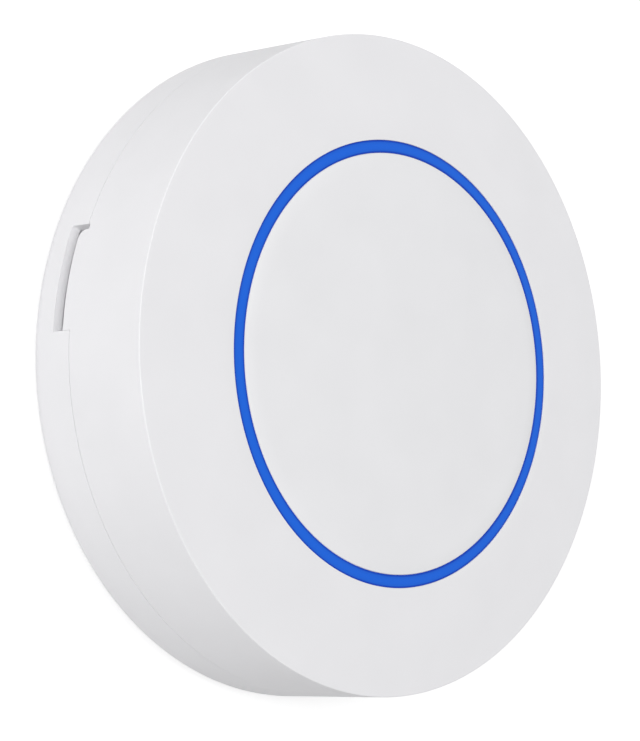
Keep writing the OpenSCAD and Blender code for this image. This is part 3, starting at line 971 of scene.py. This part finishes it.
def edge_below(z, full):
    """Rounding of the parting edge at a height: fine at the parting line, and full below it."""
    share = min(1.0, max(0.0, (SPLIT_Z - z) / full))
    return SEAM_EDGE + (full - SEAM_EDGE) * share


def edge_points(column, edge, steps=5):
    """The rounded outer edge of a case half at a column, from the wall to the edge's flat."""
    out = []
    for offset, deep in edge_bend(edge, steps, RIM_HOLD):
        z = column.z + column.push_up * offset
        along = column.along + column.push_along * offset
        out.append((SLOT_TURN + along / SEAM_R, wall_r(z) - deep, z))
    return out


def wall_points(start, end, steps=6):
    """Points on the drafted wall between two of its places, each (angle, radius, height)."""
    out = []
    for share in (i / steps for i in range(1, steps)):
        z = start[2] + (end[2] - start[2]) * share
        out.append((start[0] + (end[0] - start[0]) * share, wall_r(z), z))
    return out


def standing(outline, angle):
    """An outline of (radius, height) points, stood up at an angle round the axis."""
    return [(angle, r, z) for r, z in outline]


def slot_floor(start, deep, steps=5):
    """The notch's floor behind its edge: it swells a little and then drops into the groove.

    It starts at an (angle, radius, height) on the edge. It is flat where the notch isn't deep."""
    angle, r, z = start
    rise = SLOT_RISE * deep
    shares = [i / steps for i in range(1, steps + 1)]
    swell = [(r - SLOT_FLOOR_W * t, z + rise * math.sin(math.pi / 2 * t)) for t in shares]
    drop_z = z - (SLOT_Z - MOAT_Z - SLOT_STEP) * deep
    drop = [(r - SLOT_FLOOR_W - SLOT_STEP, drop_z), (MOAT_OUT_R, drop_z)]
    return standing(swell + drop, angle)


def make_rear_cover():
    """Rear half: rim with the notch, spigot with its seal groove, ribbed floor, pad's recess."""
    half = SLOT_W / 2
    notch = (
        [(-SLOT_SPREAD, SPLIT_Z)]
        + arc(-half - SLOT_LIP, SPLIT_Z - SLOT_LIP, SLOT_LIP, 90, 0)
        + arc(-half + SLOT_CORNER, SLOT_Z + SLOT_CORNER, SLOT_CORNER, 180, 270)
        + arc(half - SLOT_FIT_CORNER, SLOT_Z + SLOT_FIT_CORNER, SLOT_FIT_CORNER, 270, 360)
        + arc(half + SLOT_LIP, SPLIT_Z - SLOT_LIP, SLOT_LIP, 180, 90)
        + [(SLOT_SPREAD, SPLIT_Z)])
    pad_r = PAD_R + PAD_FIT
    foot = outer_edge(FOOT_Z, REAR_EDGE, 1, REAR_HOLD)
    recess = rounded([
        (0, PAD_SEAT_Z, 0), (pad_r, PAD_SEAT_Z, 0), (pad_r, FOOT_Z, PAD_SEAT_EDGE),
        (*foot[0], 0)], closed=False)
    below = recess[:-1] + foot + [on_wall(SLOT_Z - REAR_PLAIN)]
    groove_z, groove_top_z = SEAL_Z - GROOVE_HALF, SEAL_Z + GROOVE_HALF
    above = rounded([
        (MOAT_OUT_R, MOAT_Z, 0), (SPIGOT_OUT_R, MOAT_Z, 0), (SPIGOT_OUT_R, groove_z, ROUND_S),
        (GROOVE_R, groove_z, ROUND_L), (GROOVE_R, groove_top_z, ROUND_L),
        (SPIGOT_OUT_R, groove_top_z, ROUND_S), (SPIGOT_OUT_R, SPIGOT_TOP_Z - LEAD_IN, ROUND_M),
        (SPIGOT_OUT_R - LEAD_IN, SPIGOT_TOP_Z, ROUND_M), (SPIGOT_IN_R, SPIGOT_TOP_Z, ROUND_L),
        (SPIGOT_IN_R, FLOOR_Z, FLOOR_ROUND), (0, FLOOR_Z, 0)], closed=False)
    columns = []
    for column in slot_columns(notch, -1, notch_foot):
        edge = edge_below(column.z, SLOT_EDGE)
        if column.push_along > END_WALL_PUSH:
            edge = FINE_EDGE
        wall = standing(below, column.angle)
        rim = edge_points(column, edge)
        columns.append(
            wall + wall_points(wall[-1], rim[0]) + rim
            + slot_floor(rim[-1], (SPLIT_Z - column.z) / SLOT_H) + standing(above, column.angle))
    cover = column_piece("rear_moulding", columns)
    across = rounded([
        (-RIB_T / 2, FLOOR_Z - BITE, 0), (RIB_T / 2, FLOOR_Z - BITE, 0),
        (RIB_T / 2, FLOOR_Z + RIB_H, RIB_ROUND), (-RIB_T / 2, FLOOR_Z + RIB_H, RIB_ROUND)])
    rib = stacked("floor_ribs", [
        [(r, y, z) for y, z in across] for r in (RIB_START, SPIGOT_IN_R + BITE)])
    joined(cover, ring_of(rib, RIB_COUNT, 0, CASE_WHITE))
    put(cover, "base", "rear_cover", CASE_WHITE)


def make_front_shell():
    """Front half: face with its opening, wall, tongue over the slot, and screw bosses inside."""
    split_z = SPLIT_Z + SEAM_GAP
    hook_start = -SLOT_W / 2
    hook_end = hook_start + HOOK_GAP
    tip_z = split_z + HOOK_TIP_H - HOOK_TIP_CORNER
    fit_end = SLOT_W / 2 - TONGUE_FIT
    tongue = (
        [(-SLOT_SPREAD, split_z), (hook_start, split_z)]
        + arc(hook_start + HOOK_TIP_CORNER, tip_z, HOOK_TIP_CORNER, 180, 90)
        + arc(hook_end - HOOK_TIP_CORNER, tip_z, HOOK_TIP_CORNER, 90, 0)
        + arc(hook_end + TONGUE_CORNER, TONGUE_Z + TONGUE_CORNER, TONGUE_CORNER, 180, 270, 10)
        + arc(fit_end - SLOT_FIT_CORNER, TONGUE_Z + SLOT_FIT_CORNER, SLOT_FIT_CORNER, 270, 360)
        + [(fit_end + TONGUE_LEAN, split_z), (SLOT_SPREAD, split_z)])
    face = (
        [(OPENING_R, CEILING_Z), (OPENING_R, FACE_Z - RIM_FALL - FINE_EDGE)]
        + soft_fall(OPENING_R + FINE_EDGE, FACE_Z, -RIM_FALL_W, RIM_FALL)[::-1]
        + outer_edge(FACE_Z, FRONT_EDGE, -1, FRONT_HOLD) + [on_wall(SPLIT_Z + FRONT_PLAIN)])
    inside = resampled(rounded([
        (BORE_R + LEAD_IN, split_z, 0), (BORE_R, split_z + LEAD_IN, ROUND_M),
        (BORE_R, CEILING_Z, CEILING_ROUND), (OPENING_R, CEILING_Z, 0)],
        closed=False), INSIDE_STEP)[:-1]
    columns = []
    for column in slot_columns(tongue, 1):
        edge = edge_below(column.z, TONGUE_EDGE)
        if column.z < SPLIT_Z:
            edge = min(edge, max(FINE_EDGE, TONGUE_TAPER * (fit_end - column.along)))
        wall = standing(face, column.angle)
        rim = edge_points(column, edge)
        back = standing([(TONGUE_IN_R, column.z), (TONGUE_IN_R, split_z)],
                        SLOT_TURN + column.along / SEAM_R)
        columns.append(wall + wall_points(wall[-1], rim[0]) + rim + back
                       + standing(inside, column.angle))
    shell = column_piece("front_moulding", columns)
    boss = round_post("boss", BOSS_CIRCLE_R, BOSS_D / 2, FRAME_TOP_Z, CEILING_Z + BITE)
    joined(boss, soft_box(
        "boss_rib", BOSS_CIRCLE_R, -RIB_T / 2, BORE_R + SHORT_BITE, RIB_T / 2,
        SPIGOT_TOP_Z + BOSS_RIB_GAP, CEILING_Z + BITE))
    cut(boss, round_post(
        "boss_hole", BOSS_CIRCLE_R, SCREW_D / 2 + THREAD_GAP, FRAME_TOP_Z - BITE,
        CEILING_Z - PILOT_LEFT, steps=32))
    joined(shell, ring_of(boss, LEG_COUNT, BETWEEN_LEGS, CASE_WHITE))
    put(shell, "front", "front_shell", CASE_WHITE)


# Face pieces

def make_press_disc():
    """Press disc with its skirt and lip, guide pins, post and webs."""
    inner_r = DISC_R - SKIRT_T
    lip_r = DISC_R + DISC_GAP + LIP_W
    outline = rounded([
        (0, PLATE_Z, 0), (inner_r, PLATE_Z, PLATE_ROUND), (inner_r, SKIRT_Z, ROUND_M),
        (lip_r, SKIRT_Z, ROUND_M), (lip_r, LIP_Z, ROUND_M), (DISC_R, LIP_Z, ROUND_M),
        (DISC_R, FACE_Z - DISC_FALL - DISC_EDGE, 0)], closed=False, steps=8)
    outline += soft_fall(DISC_R - DISC_EDGE, FACE_Z, DISC_FALL_W, DISC_FALL)[::-1] + [(0, FACE_Z)]
    disc = turned("press_disc", outline, DISC_WHITE, closed=False)
    pin = round_post("guide_pins", PIN_CIRCLE_R, PIN_D / 2, PIN_Z, PLATE_Z + BITE)
    joined(disc, ring_of(pin, PIN_COUNT, -90, DISC_WHITE))
    web = soft_box("webs", WEB_START, -RIB_T / 2, inner_r + SHORT_BITE, RIB_T / 2,
                   PLATE_Z - PIN_GAP, PLATE_Z + BITE)
    ring_of(web, PIN_COUNT, 90, DISC_WHITE)
    joined(web, round_post("press_post", 0, POST_D / 2, POST_Z + TOUCH_GAP, PLATE_Z + LONG_BITE))
    joined(disc, web)
    put(disc, "button", "button_disc", DISC_WHITE)


def make_light_ring():
    """Blue ring with its flange and the four light legs down to the lamps."""
    top_z = RING_TOP_Z - RING_SUNK
    outline = rounded([
        (RING_IN_R, FLANGE_Z, ROUND_M), (FLANGE_R, FLANGE_Z, ROUND_M),
        (FLANGE_R, CEILING_Z, ROUND_M), (RING_OUT_R, CEILING_Z, 0),
        (RING_OUT_R, top_z, RING_EDGE), (RING_IN_R, top_z, RING_EDGE)])
    ring = turned("light_pipe_ring", outline, RING_BLUE)
    leg = soft_box("light_legs", OPENING_R + LEG_INSET, -LEG_W / 2, FLANGE_R - LEG_INSET,
                   LEG_W / 2, LEG_Z, FLANGE_Z + BITE, corner=ROUND_L)
    joined(ring, ring_of(leg, LEG_COUNT, 0, RING_BLUE))
    put(ring, "front", "light_ring", RING_BLUE)


# Seal and pad

def make_seal():
    """Round seal cord in the groove of the spigot."""
    cord = turned("seal_cord", circle(SEAL_CIRCLE_R, SEAL_Z, SEAL_D / 2, 20), RUBBER)
    put(cord, "base", "seal_ring", RUBBER)


def make_pad():
    """Soft pad under the rear, with rings pressed into its face."""
    outline = [(0, 0)]
    for i in range(1, int(PAD_R / PAD_RING_STEP) + 1):
        r = PAD_RING_STEP * i
        outline += [(r - PAD_RING_W / 2, 0), (r - PAD_RING_W / 4, PAD_RING_DEEP),
                    (r + PAD_RING_W / 4, PAD_RING_DEEP), (r + PAD_RING_W / 2, 0)]
    outline += rounded([
        (*outline[-1], 0), (PAD_R, 0, PAD_EDGE), (PAD_R, PAD_SEAT_Z, ROUND_M),
        (0, PAD_SEAT_Z, 0)], closed=False)[1:]
    pad = turned("foam_pad", outline, FOAM, closed=False)
    put(pad, "base", "rear_pad", FOAM)


# Board, screws and lamps

def make_main_board():
    """Round board with its screw holes, peg holes and gold test pads."""
    board = round_post("board_disc", 0, BOARD_R, BOARD_Z, BOARD_TOP_Z, edge0=ROUND_S,
                       edge1=ROUND_S, steps=160)
    hole_r = SCREW_D / 2 + HOLE_GAP
    hole = drill("screw_holes", BOSS_CIRCLE_R, hole_r, BOARD_Z, BOARD_TOP_Z, steps=32)
    cut(board, ring_of(hole, LEG_COUNT, BETWEEN_LEGS, BOARD_MASK))
    hole_r = PEG_D / 2 + PEG_FIT
    hole = drill("peg_holes", PEG_CIRCLE_R, hole_r, BOARD_Z, BOARD_TOP_Z, steps=24)
    cut(board, ring_of(hole, PEG_COUNT, 0, BOARD_MASK))
    put(board, "front", "main_board", BOARD_MASK)

    pad = round_post("test_pads", 0, TEST_PAD_R, BOARD_Z - TRIM_T, BOARD_Z + TRIM_T, steps=24)
    first_x = row_start(TEST_PAD_COUNT, TEST_PAD_PITCH)
    row_of(pad, TEST_PAD_COUNT, (TEST_PAD_PITCH, 0, 0), GOLD,
           (first_x, low("passives", 1) - TEST_PAD_OFF, 0))
    put(pad, "front", None, GOLD)


def make_screws():
    """Four pan head screws with crosses and threads."""
    head_z, end_z = low("screws"), high("screws")
    core_r = SCREW_D / 2 - THREAD_BEAD
    head_r = SCREW_HEAD_D / 2
    outline = rounded([
        (0, head_z, 0), (head_r - HEAD_DOME, head_z, HEAD_DOME),
        (head_r, head_z + HEAD_SLOPE * HEAD_DOME, HEAD_EDGE), (head_r, BOARD_Z, ROUND_S),
        (core_r, BOARD_Z, 0), (core_r, end_z - SCREW_TIP, ROUND_S),
        (SCREW_TIP_R, end_z, ROUND_M), (0, end_z, 0)], closed=False)
    screw = turned("cross_screws", outline, SCREW_STEEL, closed=False, steps=48)
    for w, d in ((CROSS_W, CROSS_T), (CROSS_T, CROSS_W)):
        cut(screw, soft_box(
            "cross", -w / 2, -d / 2, w / 2, d / 2, head_z - BITE, head_z + CROSS_DEEP))
    thread_z = FRAME_TOP_Z - THREAD_START
    length = end_z - SCREW_TIP - THREAD_END - thread_z
    run_tree(screw, THREAD, {
        "Turns": length / THREAD_PITCH, "Radius": core_r * MM, "Length": length * MM,
        "Bead Radius": THREAD_BEAD * MM, "Start": (0, 0, thread_z * MM), "Finish": SCREW_STEEL})
    screw.data.transform(Matrix.Translation((BOSS_CIRCLE_R * MM, 0, 0)))
    ring_of(screw, LEG_COUNT, BETWEEN_LEGS, SCREW_STEEL)
    put(screw, "front", "screws", SCREW_STEEL)


def make_lamps():
    """Four lamps under the light legs: tinned ends, a low body and a rounded lens."""
    x0, x1 = LEG_MID_R - LAMP_DEEP / 2, LEG_MID_R + LAMP_DEEP / 2
    body_y = LAMP_W / 2 - END_T
    lamp = soft_box(
        "lamp_bodies", x0 + LAMP_INSET, -body_y - LAMP_LAP, x1 - LAMP_INSET, body_y + LAMP_LAP,
        BOARD_TOP_Z, LAMP_Z - LENS_H, corner=ROUND_S, edge1=ROUND_S)
    joined(lamp, round_post("lens", LEG_MID_R, LENS_R, BOARD_TOP_Z + SHORT_BITE, LAMP_Z,
                            edge1=LENS_EDGE, steps=32))
    put(ring_of(lamp, LEG_COUNT, 0, RESIN), "front", "leds", RESIN)
    end = soft_box("lamp_ends", x0, body_y, x1, LAMP_W / 2, BOARD_TOP_Z, LAMP_Z - LAMP_END_DROP,
                   corner=ROUND_S, edge1=ROUND_S)
    row_of(end, 2, (0, -2 * body_y - END_T, 0), STEEL)
    put(ring_of(end, LEG_COUNT, 0, STEEL), "front", None, STEEL)


# Tact switch

def make_switch():
    """Switch body with its well and stakes, cover plate, plunger, snap dome and bent terminals."""
    top_z, cover_z = low("switch_cover"), high("switch_cover")
    dome_z, collar_z = low("snap_dome"), low("switch_plunger")
    half = high("switch_base", 0)
    base = soft_box("switch_body", -half, -half, half, half, BOARD_TOP_Z, top_z,
                    corner=SWITCH_CORNER, edge0=0.08, edge1=ROUND_S)
    cut(base, round_post("well", 0, COLLAR_R + PLUNGER_FIT, dome_z, top_z + BITE))
    stake = round_post("stakes", STAKE_CIRCLE_R, STAKE_R, top_z - BITE, cover_z + STAKE_H,
                       edge1=STAKE_EDGE, steps=24)
    joined(base, ring_of(stake, LEG_COUNT, BETWEEN_LEGS, BLACK))
    put(base, "front", "switch_base", BLACK)

    cover = soft_box("switch_plate", -half, -half, half, half, top_z, cover_z,
                     corner=SWITCH_CORNER, edge0=0.04, edge1=0.06)
    cut(cover, drill("plunger_hole", 0, PLUNGER_R + PLUNGER_FIT, top_z, cover_z))
    hole = drill("stake_holes", STAKE_CIRCLE_R, STAKE_R + STAKE_FIT, top_z, cover_z, steps=24)
    cut(cover, ring_of(hole, LEG_COUNT, BETWEEN_LEGS, STEEL))
    put(cover, "front", "switch_cover", STEEL)

    collar_top_z = collar_z + COLLAR_T
    outline = rounded([
        (0, collar_z, 0), (COLLAR_R, collar_z, 0.08), (COLLAR_R, collar_top_z, 0.06),
        (PLUNGER_R, collar_top_z, 0.04), (PLUNGER_R, POST_Z, PLUNGER_EDGE), (0, POST_Z, 0)],
        closed=False)
    plunger = turned("plunger_cap", outline, BLACK, closed=False, steps=64)
    put(plunger, "plunger", "switch_plunger", BLACK)

    dome_h = DOME_LEFT + TRAVEL - TOUCH_GAP
    crown_r = (COLLAR_R ** 2 + dome_h ** 2) / (2 * dome_h)
    inner_r = crown_r - DOME_T
    centre_z = dome_z + dome_h - crown_r
    outer_end = math.degrees(math.acos(COLLAR_R / crown_r))
    inner_end = math.degrees(math.asin((dome_z - centre_z) / inner_r))
    outline = (arc(0, centre_z, crown_r, 90, outer_end, 12)
               + arc(0, centre_z, inner_r, inner_end, 90, 12))
    dome = turned("snap_disc", outline, STEEL, closed=False, steps=64)
    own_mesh(dome)
    put(dome, "front", "snap_dome", STEEL)

    leg_x, foot_z = half + TERMINAL_T / 2, BOARD_TOP_Z + TERMINAL_T / 2
    path = [(leg_x, dome_z), (leg_x, foot_z), (high("switch_terminals", 0), foot_z)]
    leg = strip("switch_legs", path, TERMINAL_T, TERMINAL_W / 2, TERMINAL_BEND)
    row_of(leg, 2, (0, TERMINAL_PITCH, 0), STEEL, (0, row_start(2, TERMINAL_PITCH), 0))
    put(ring_of(leg, 2, 0, STEEL), "front", "switch_terminals", STEEL)


# Radio and small parts under the board

def make_radio():
    """Radio board with half round edge contacts, its vented can and its aerial block."""
    x0, y0, x1, y1 = sides("radio_board")
    plate_z = low("radio_board")
    board = soft_box("radio_plate", x0, y0, x1, y1, plate_z, BOARD_Z, corner=0.2, edge0=0.03)
    pads = soft_box("edge_contacts", x1 - CONTACT_W, -CONTACT_W / 2, x1 - CONTACT_IN,
                    CONTACT_W / 2, plate_z - TRIM_T, BOARD_Z - CONTACT_DROP, corner=ROUND_S)
    first, step = (0, y0 + CONTACT_START, 0), (0, CONTACT_PITCH, 0)
    row_of(pads, CONTACT_COUNT, step, GOLD, first)
    row_of(pads, 2, (x0 - x1 + CONTACT_W + CONTACT_IN, 0, 0), GOLD)
    for piece, finish in ((board, RADIO_MASK), (pads, GOLD)):
        hole = drill("edge_holes", x1, CONTACT_HOLE_R, plate_z, BOARD_Z, steps=24)
        row_of(hole, CONTACT_COUNT, step, finish, first)
        cut(piece, row_of(hole, 2, (x0 - x1, 0, 0), finish))
    put(board, "front", "radio_board", RADIO_MASK)
    put(pads, "front", None, GOLD)

    x0, y0, x1, y1 = sides("radio_shield")
    can_z = low("radio_shield")
    can = soft_box("radio_can", x0, y0, x1, y1, can_z, plate_z, CAN_CORNER, CAN_EDGE)
    vent = round_post("vents", 0, VENT_R, can_z - BITE, can_z + VENT_DEEP, steps=16)
    columns, rows = VENT_COUNTS
    row_of(vent, columns, (VENT_PITCH, 0, 0), STEEL, (row_start(columns, VENT_PITCH), 0, 0))
    first_y = (y0 + y1) / 2 + row_start(rows, VENT_PITCH)
    row_of(vent, rows, (0, VENT_PITCH, 0), STEEL, (0, first_y, 0))
    cut(can, vent)
    put(can, "front", "radio_shield", STEEL)

    x0, y0, x1, y1 = sides("chip_antenna")
    block_z = low("chip_antenna")
    block = soft_box("aerial_block", x0 + END_T, y0 + AERIAL_INSET, x1 - END_T,
                     y1 - AERIAL_INSET, block_z + AERIAL_INSET, plate_z, ROUND_S, ROUND_S)
    put(block, "front", "chip_antenna", CERAMIC)
    end_w = END_T + AERIAL_LAP
    ends = soft_box("aerial_ends", x0, y0, x0 + end_w, y1, block_z, plate_z, END_EDGE, END_EDGE)
    row_of(ends, 2, (x1 - x0 - end_w, 0, 0), STEEL)
    put(ends, "front", None, STEEL)
    bars = soft_box("aerial_bars", -BAR_W / 2, y0 + BAR_SIDE, BAR_W / 2, y1 - BAR_SIDE,
                    block_z + BAR_FACE, block_z + BAR_DEEP)
    row_of(bars, BAR_COUNT, (BAR_PITCH, 0, 0), GOLD, (row_start(BAR_COUNT, BAR_PITCH), 0, 0))
    put(bars, "front", None, GOLD)


def make_small_parts():
    """Clock crystal with its lid, and a row of chip parts with tinned ends."""
    x0, y0, x1, y1 = sides("crystal")
    lid_z = low("crystal")
    crystal = soft_box("crystal_case", x0, y0, x1, y1, lid_z + LID_H, BOARD_Z,
                       corner=0.25, edge0=0.08)
    joined(crystal, soft_box(
        "crystal_lid", x0 + LID_INSET, y0 + LID_INSET, x1 - LID_INSET, y1 - LID_INSET,
        lid_z, lid_z + LID_H + SHORT_BITE, corner=0.3, edge0=ROUND_L))
    put(crystal, "front", "crystal", STEEL)

    y0, y1, chip_z = low("passives", 1), high("passives", 1), low("passives")
    first_x = row_start(CHIP_COUNT, CHIP_PITCH)
    half = high("passives", 0) + first_x
    step, first = (CHIP_PITCH, 0, 0), (first_x, 0, 0)
    body = soft_box("chip_bodies", CHIP_INSET - half, y0 + END_T - CHIP_INSET, half - CHIP_INSET,
                    y1 - END_T + CHIP_INSET, chip_z + CHIP_INSET, BOARD_Z,
                    corner=0.04, edge0=ROUND_S)
    row_of(body, CHIP_COUNT, step, CHIP, first)
    put(body, "front", "passives", CHIP)
    ends = soft_box("chip_ends", -half, y0, half, y0 + END_T, chip_z, BOARD_Z, END_EDGE, END_EDGE)
    row_of(ends, 2, (0, y1 - y0 - END_T, 0), STEEL)
    row_of(ends, CHIP_COUNT, step, STEEL, first)
    put(ends, "front", None, STEEL)


# Coin cell and its clip

def make_cell():
    """Contact disc, and the cell's can, gasket and cap."""
    contact_r = high("cell_contact", 0)
    outline = rounded([
        (0, CELL_TOP_Z, 0), (contact_r, CELL_TOP_Z, ROUND_S), (contact_r, BOARD_Z, ROUND_S),
        (0, BOARD_Z, 0)], closed=False)
    contact = turned("contact_disc", outline, GOLD, closed=False, steps=96)
    put(contact, "front", "cell_contact", GOLD)

    top_z = high("coin_cell_can")
    inner_r = CELL_R - CELL_SHEET
    inner_z = CELL_Z + CELL_SHEET
    face_z = CELL_Z + CELL_FACE_DEEP
    outline = rounded([
        (0, face_z, 0), (CELL_FACE_R, face_z, ROUND_M),
        (CELL_FACE_R + CELL_FACE_W, CELL_Z, ROUND_M), (CELL_R, CELL_Z, CELL_EDGE),
        (CELL_R, top_z, CELL_RIM_EDGE), (inner_r, top_z, ROUND_M), (inner_r, inner_z, 0),
        (0, inner_z, 0)], closed=False, steps=8)
    can = turned("cell_can", outline, NICKEL, closed=False)
    put(can, "front", "coin_cell_can", NICKEL)

    cap_r = inner_r - GASKET_T
    outline = rounded([
        (cap_r, inner_z, 0), (inner_r, inner_z, 0), (inner_r, top_z, ROUND_M),
        (cap_r, top_z, ROUND_L)])
    gasket = turned("cell_gasket", outline, BLACK)
    put(gasket, "front", "coin_cell_gasket", BLACK)

    outline = rounded([
        (0, inner_z, 0), (cap_r, inner_z, 0), (cap_r, CELL_TOP_Z, CELL_STEP), (0, CELL_TOP_Z, 0)],
        closed=False, steps=8)
    cap = turned("cell_cap", outline, NICKEL, closed=False)
    put(cap, "front", "coin_cell_cap", NICKEL)


def make_clip():
    """Bent strap that holds the cell to the board, with pressed beads and holes in its feet."""
    foot, half = high("battery_clip", 0), high("battery_clip", 1)
    wall = CELL_R + CLIP_GAP + CLIP_T / 2
    foot_z, strap_z = BOARD_Z - CLIP_T / 2, CELL_Z - CLIP_T / 2
    path = [(-foot, foot_z), (-wall, foot_z), (-wall, strap_z),
            (wall, strap_z), (wall, foot_z), (foot, foot_z)]
    clip = strip("cell_strap", path, CLIP_T, half, CLIP_BEND)
    bead = soft_box("bead", BEAD_END - wall, -BEAD_W / 2, wall - BEAD_END, BEAD_W / 2,
                    CELL_Z - CLIP_T - BEAD_H, strap_z, BEAD_CORNER, BEAD_H * BEAD_ROUND)
    joined(clip, row_of(bead, 2, (0, half, 0), STEEL, (0, row_start(2, half), 0)))
    hole = drill("foot_holes", (foot + wall) / 2 + FOOT_HOLE_OUT, FOOT_HOLE_R,
                 BOARD_Z - CLIP_T, BOARD_Z, steps=24)
    row_of(hole, FOOT_HOLE_COUNT, (0, FOOT_HOLE_PITCH, 0), STEEL,
           (0, row_start(FOOT_HOLE_COUNT, FOOT_HOLE_PITCH), 0))
    cut(clip, ring_of(hole, 2, 0, STEEL))
    put(clip, "front", "battery_clip", STEEL)


make_rear_cover()
make_front_shell()
make_press_disc()
make_light_ring()
make_seal()
make_pad()
make_main_board()
make_screws()
make_lamps()
make_switch()
make_radio()
make_small_parts()
make_cell()
make_clip()

# The moulded frame keeps its own solid
inner_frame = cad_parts["inner_frame"]
inner_frame.data.materials.clear()
inner_frame.data.materials.append(FRAME_GREY)


# Stage: floor, lights and camera

def seen_rays(tree):
    """One for rays that the camera, gloss or glass sees, and zero for light on the object."""
    rays = add_node(tree, "ShaderNodeLightPath").node.outputs
    seen = number(tree, "MAXIMUM", rays["Is Camera Ray"], rays["Is Glossy Ray"])
    return number(tree, "MAXIMUM", seen, rays["Is Transmission Ray"])


def make_floor():
    """A plain pale floor that keeps the shadow near the object and is white further off."""
    bm = bmesh.new()
    bmesh.ops.create_circle(bm, cap_ends=True, segments=64, radius=FLOOR_R)
    bmesh.ops.translate(bm, verts=bm.verts, vec=(0, 0, -FLOOR_GAP))
    floor = put_mesh("floor", bm)
    mat, tree, place = start_finish("floor_white", {
        "Base Color": (0.7, 0.7, 0.7, 1), "Roughness": 0.9, "Specular IOR Level": 0.0})
    away = add_node(tree, "ShaderNodeVectorMath", {0: place}, out="Value", operation="LENGTH")
    share = number(tree, "DIVIDE", away, FLOOR_WHITE_R * MM)
    paint(tree, "Emission Color", share, [(0.25, 0.5), (1.0, 1.0)])
    drive(tree, "Emission Strength", seen_rays(tree))
    floor.data.materials.append(mat)


def make_world():
    """White all round for the eye, and soft light from all sides."""
    world = bpy.data.worlds.new("studio")
    world.use_nodes = True
    bpy.context.scene.world = world
    tree = world.node_tree
    back = tree.nodes["Background"]
    back.inputs["Color"].default_value = (1, 1, 1, 1)
    strength = number(tree, "MULTIPLY_ADD", seen_rays(tree), 1 - SKY, SKY)
    tree.links.new(strength, back.inputs["Strength"])


def soft_lamp(name, place, size, power):
    """A square soft lamp at a place, aimed at the middle of the case."""
    data = bpy.data.lights.new(name, "AREA")
    data.size = size * MM
    data.energy = power
    lamp = add_object(name, data)
    lamp.location = Vector(place) * MM
    away = lamp.location - Vector((0, 0, FACE_Z / 2)) * MM
    lamp.rotation_euler = away.to_track_quat("Z", "Y").to_euler()


def make_camera():
    """The photograph's viewing angle: the puck lies down and the camera is rolled."""
    data = bpy.data.cameras.new("camera")
    data.lens = CAMERA_LENS
    data.sensor_width = CAMERA_SENSOR
    data.clip_start = CAMERA_NEAR * MM
    camera = add_object("camera", data)
    turn, rise, roll = (math.radians(a) for a in (CAMERA_AZIMUTH, CAMERA_RISE, CAMERA_ROLL))
    flat = math.cos(rise)
    back = Vector((flat * math.cos(turn), flat * math.sin(turn), math.sin(rise)))
    level = Vector((-math.sin(turn), math.cos(turn), 0))
    right = level * math.cos(roll) + back.cross(level) * math.sin(roll)
    axes = Matrix((right, back.cross(right), back)).transposed().to_4x4()
    place = (Vector(CAMERA_AIM) + back * CAMERA_DISTANCE) * MM
    camera.matrix_world = Matrix.Translation(place) @ axes
    bpy.context.scene.camera = camera


make_floor()
make_world()
soft_lamp("key_lamp", (-420, 25, 400), 400, 1.15)
soft_lamp("low_lamp", (-520, 60, 200), 400, 0.88)
soft_lamp("top_lamp", (50, 100, 480), 300, 0.86)
make_camera()
bpy.context.scene.view_settings.view_transform = "Standard"
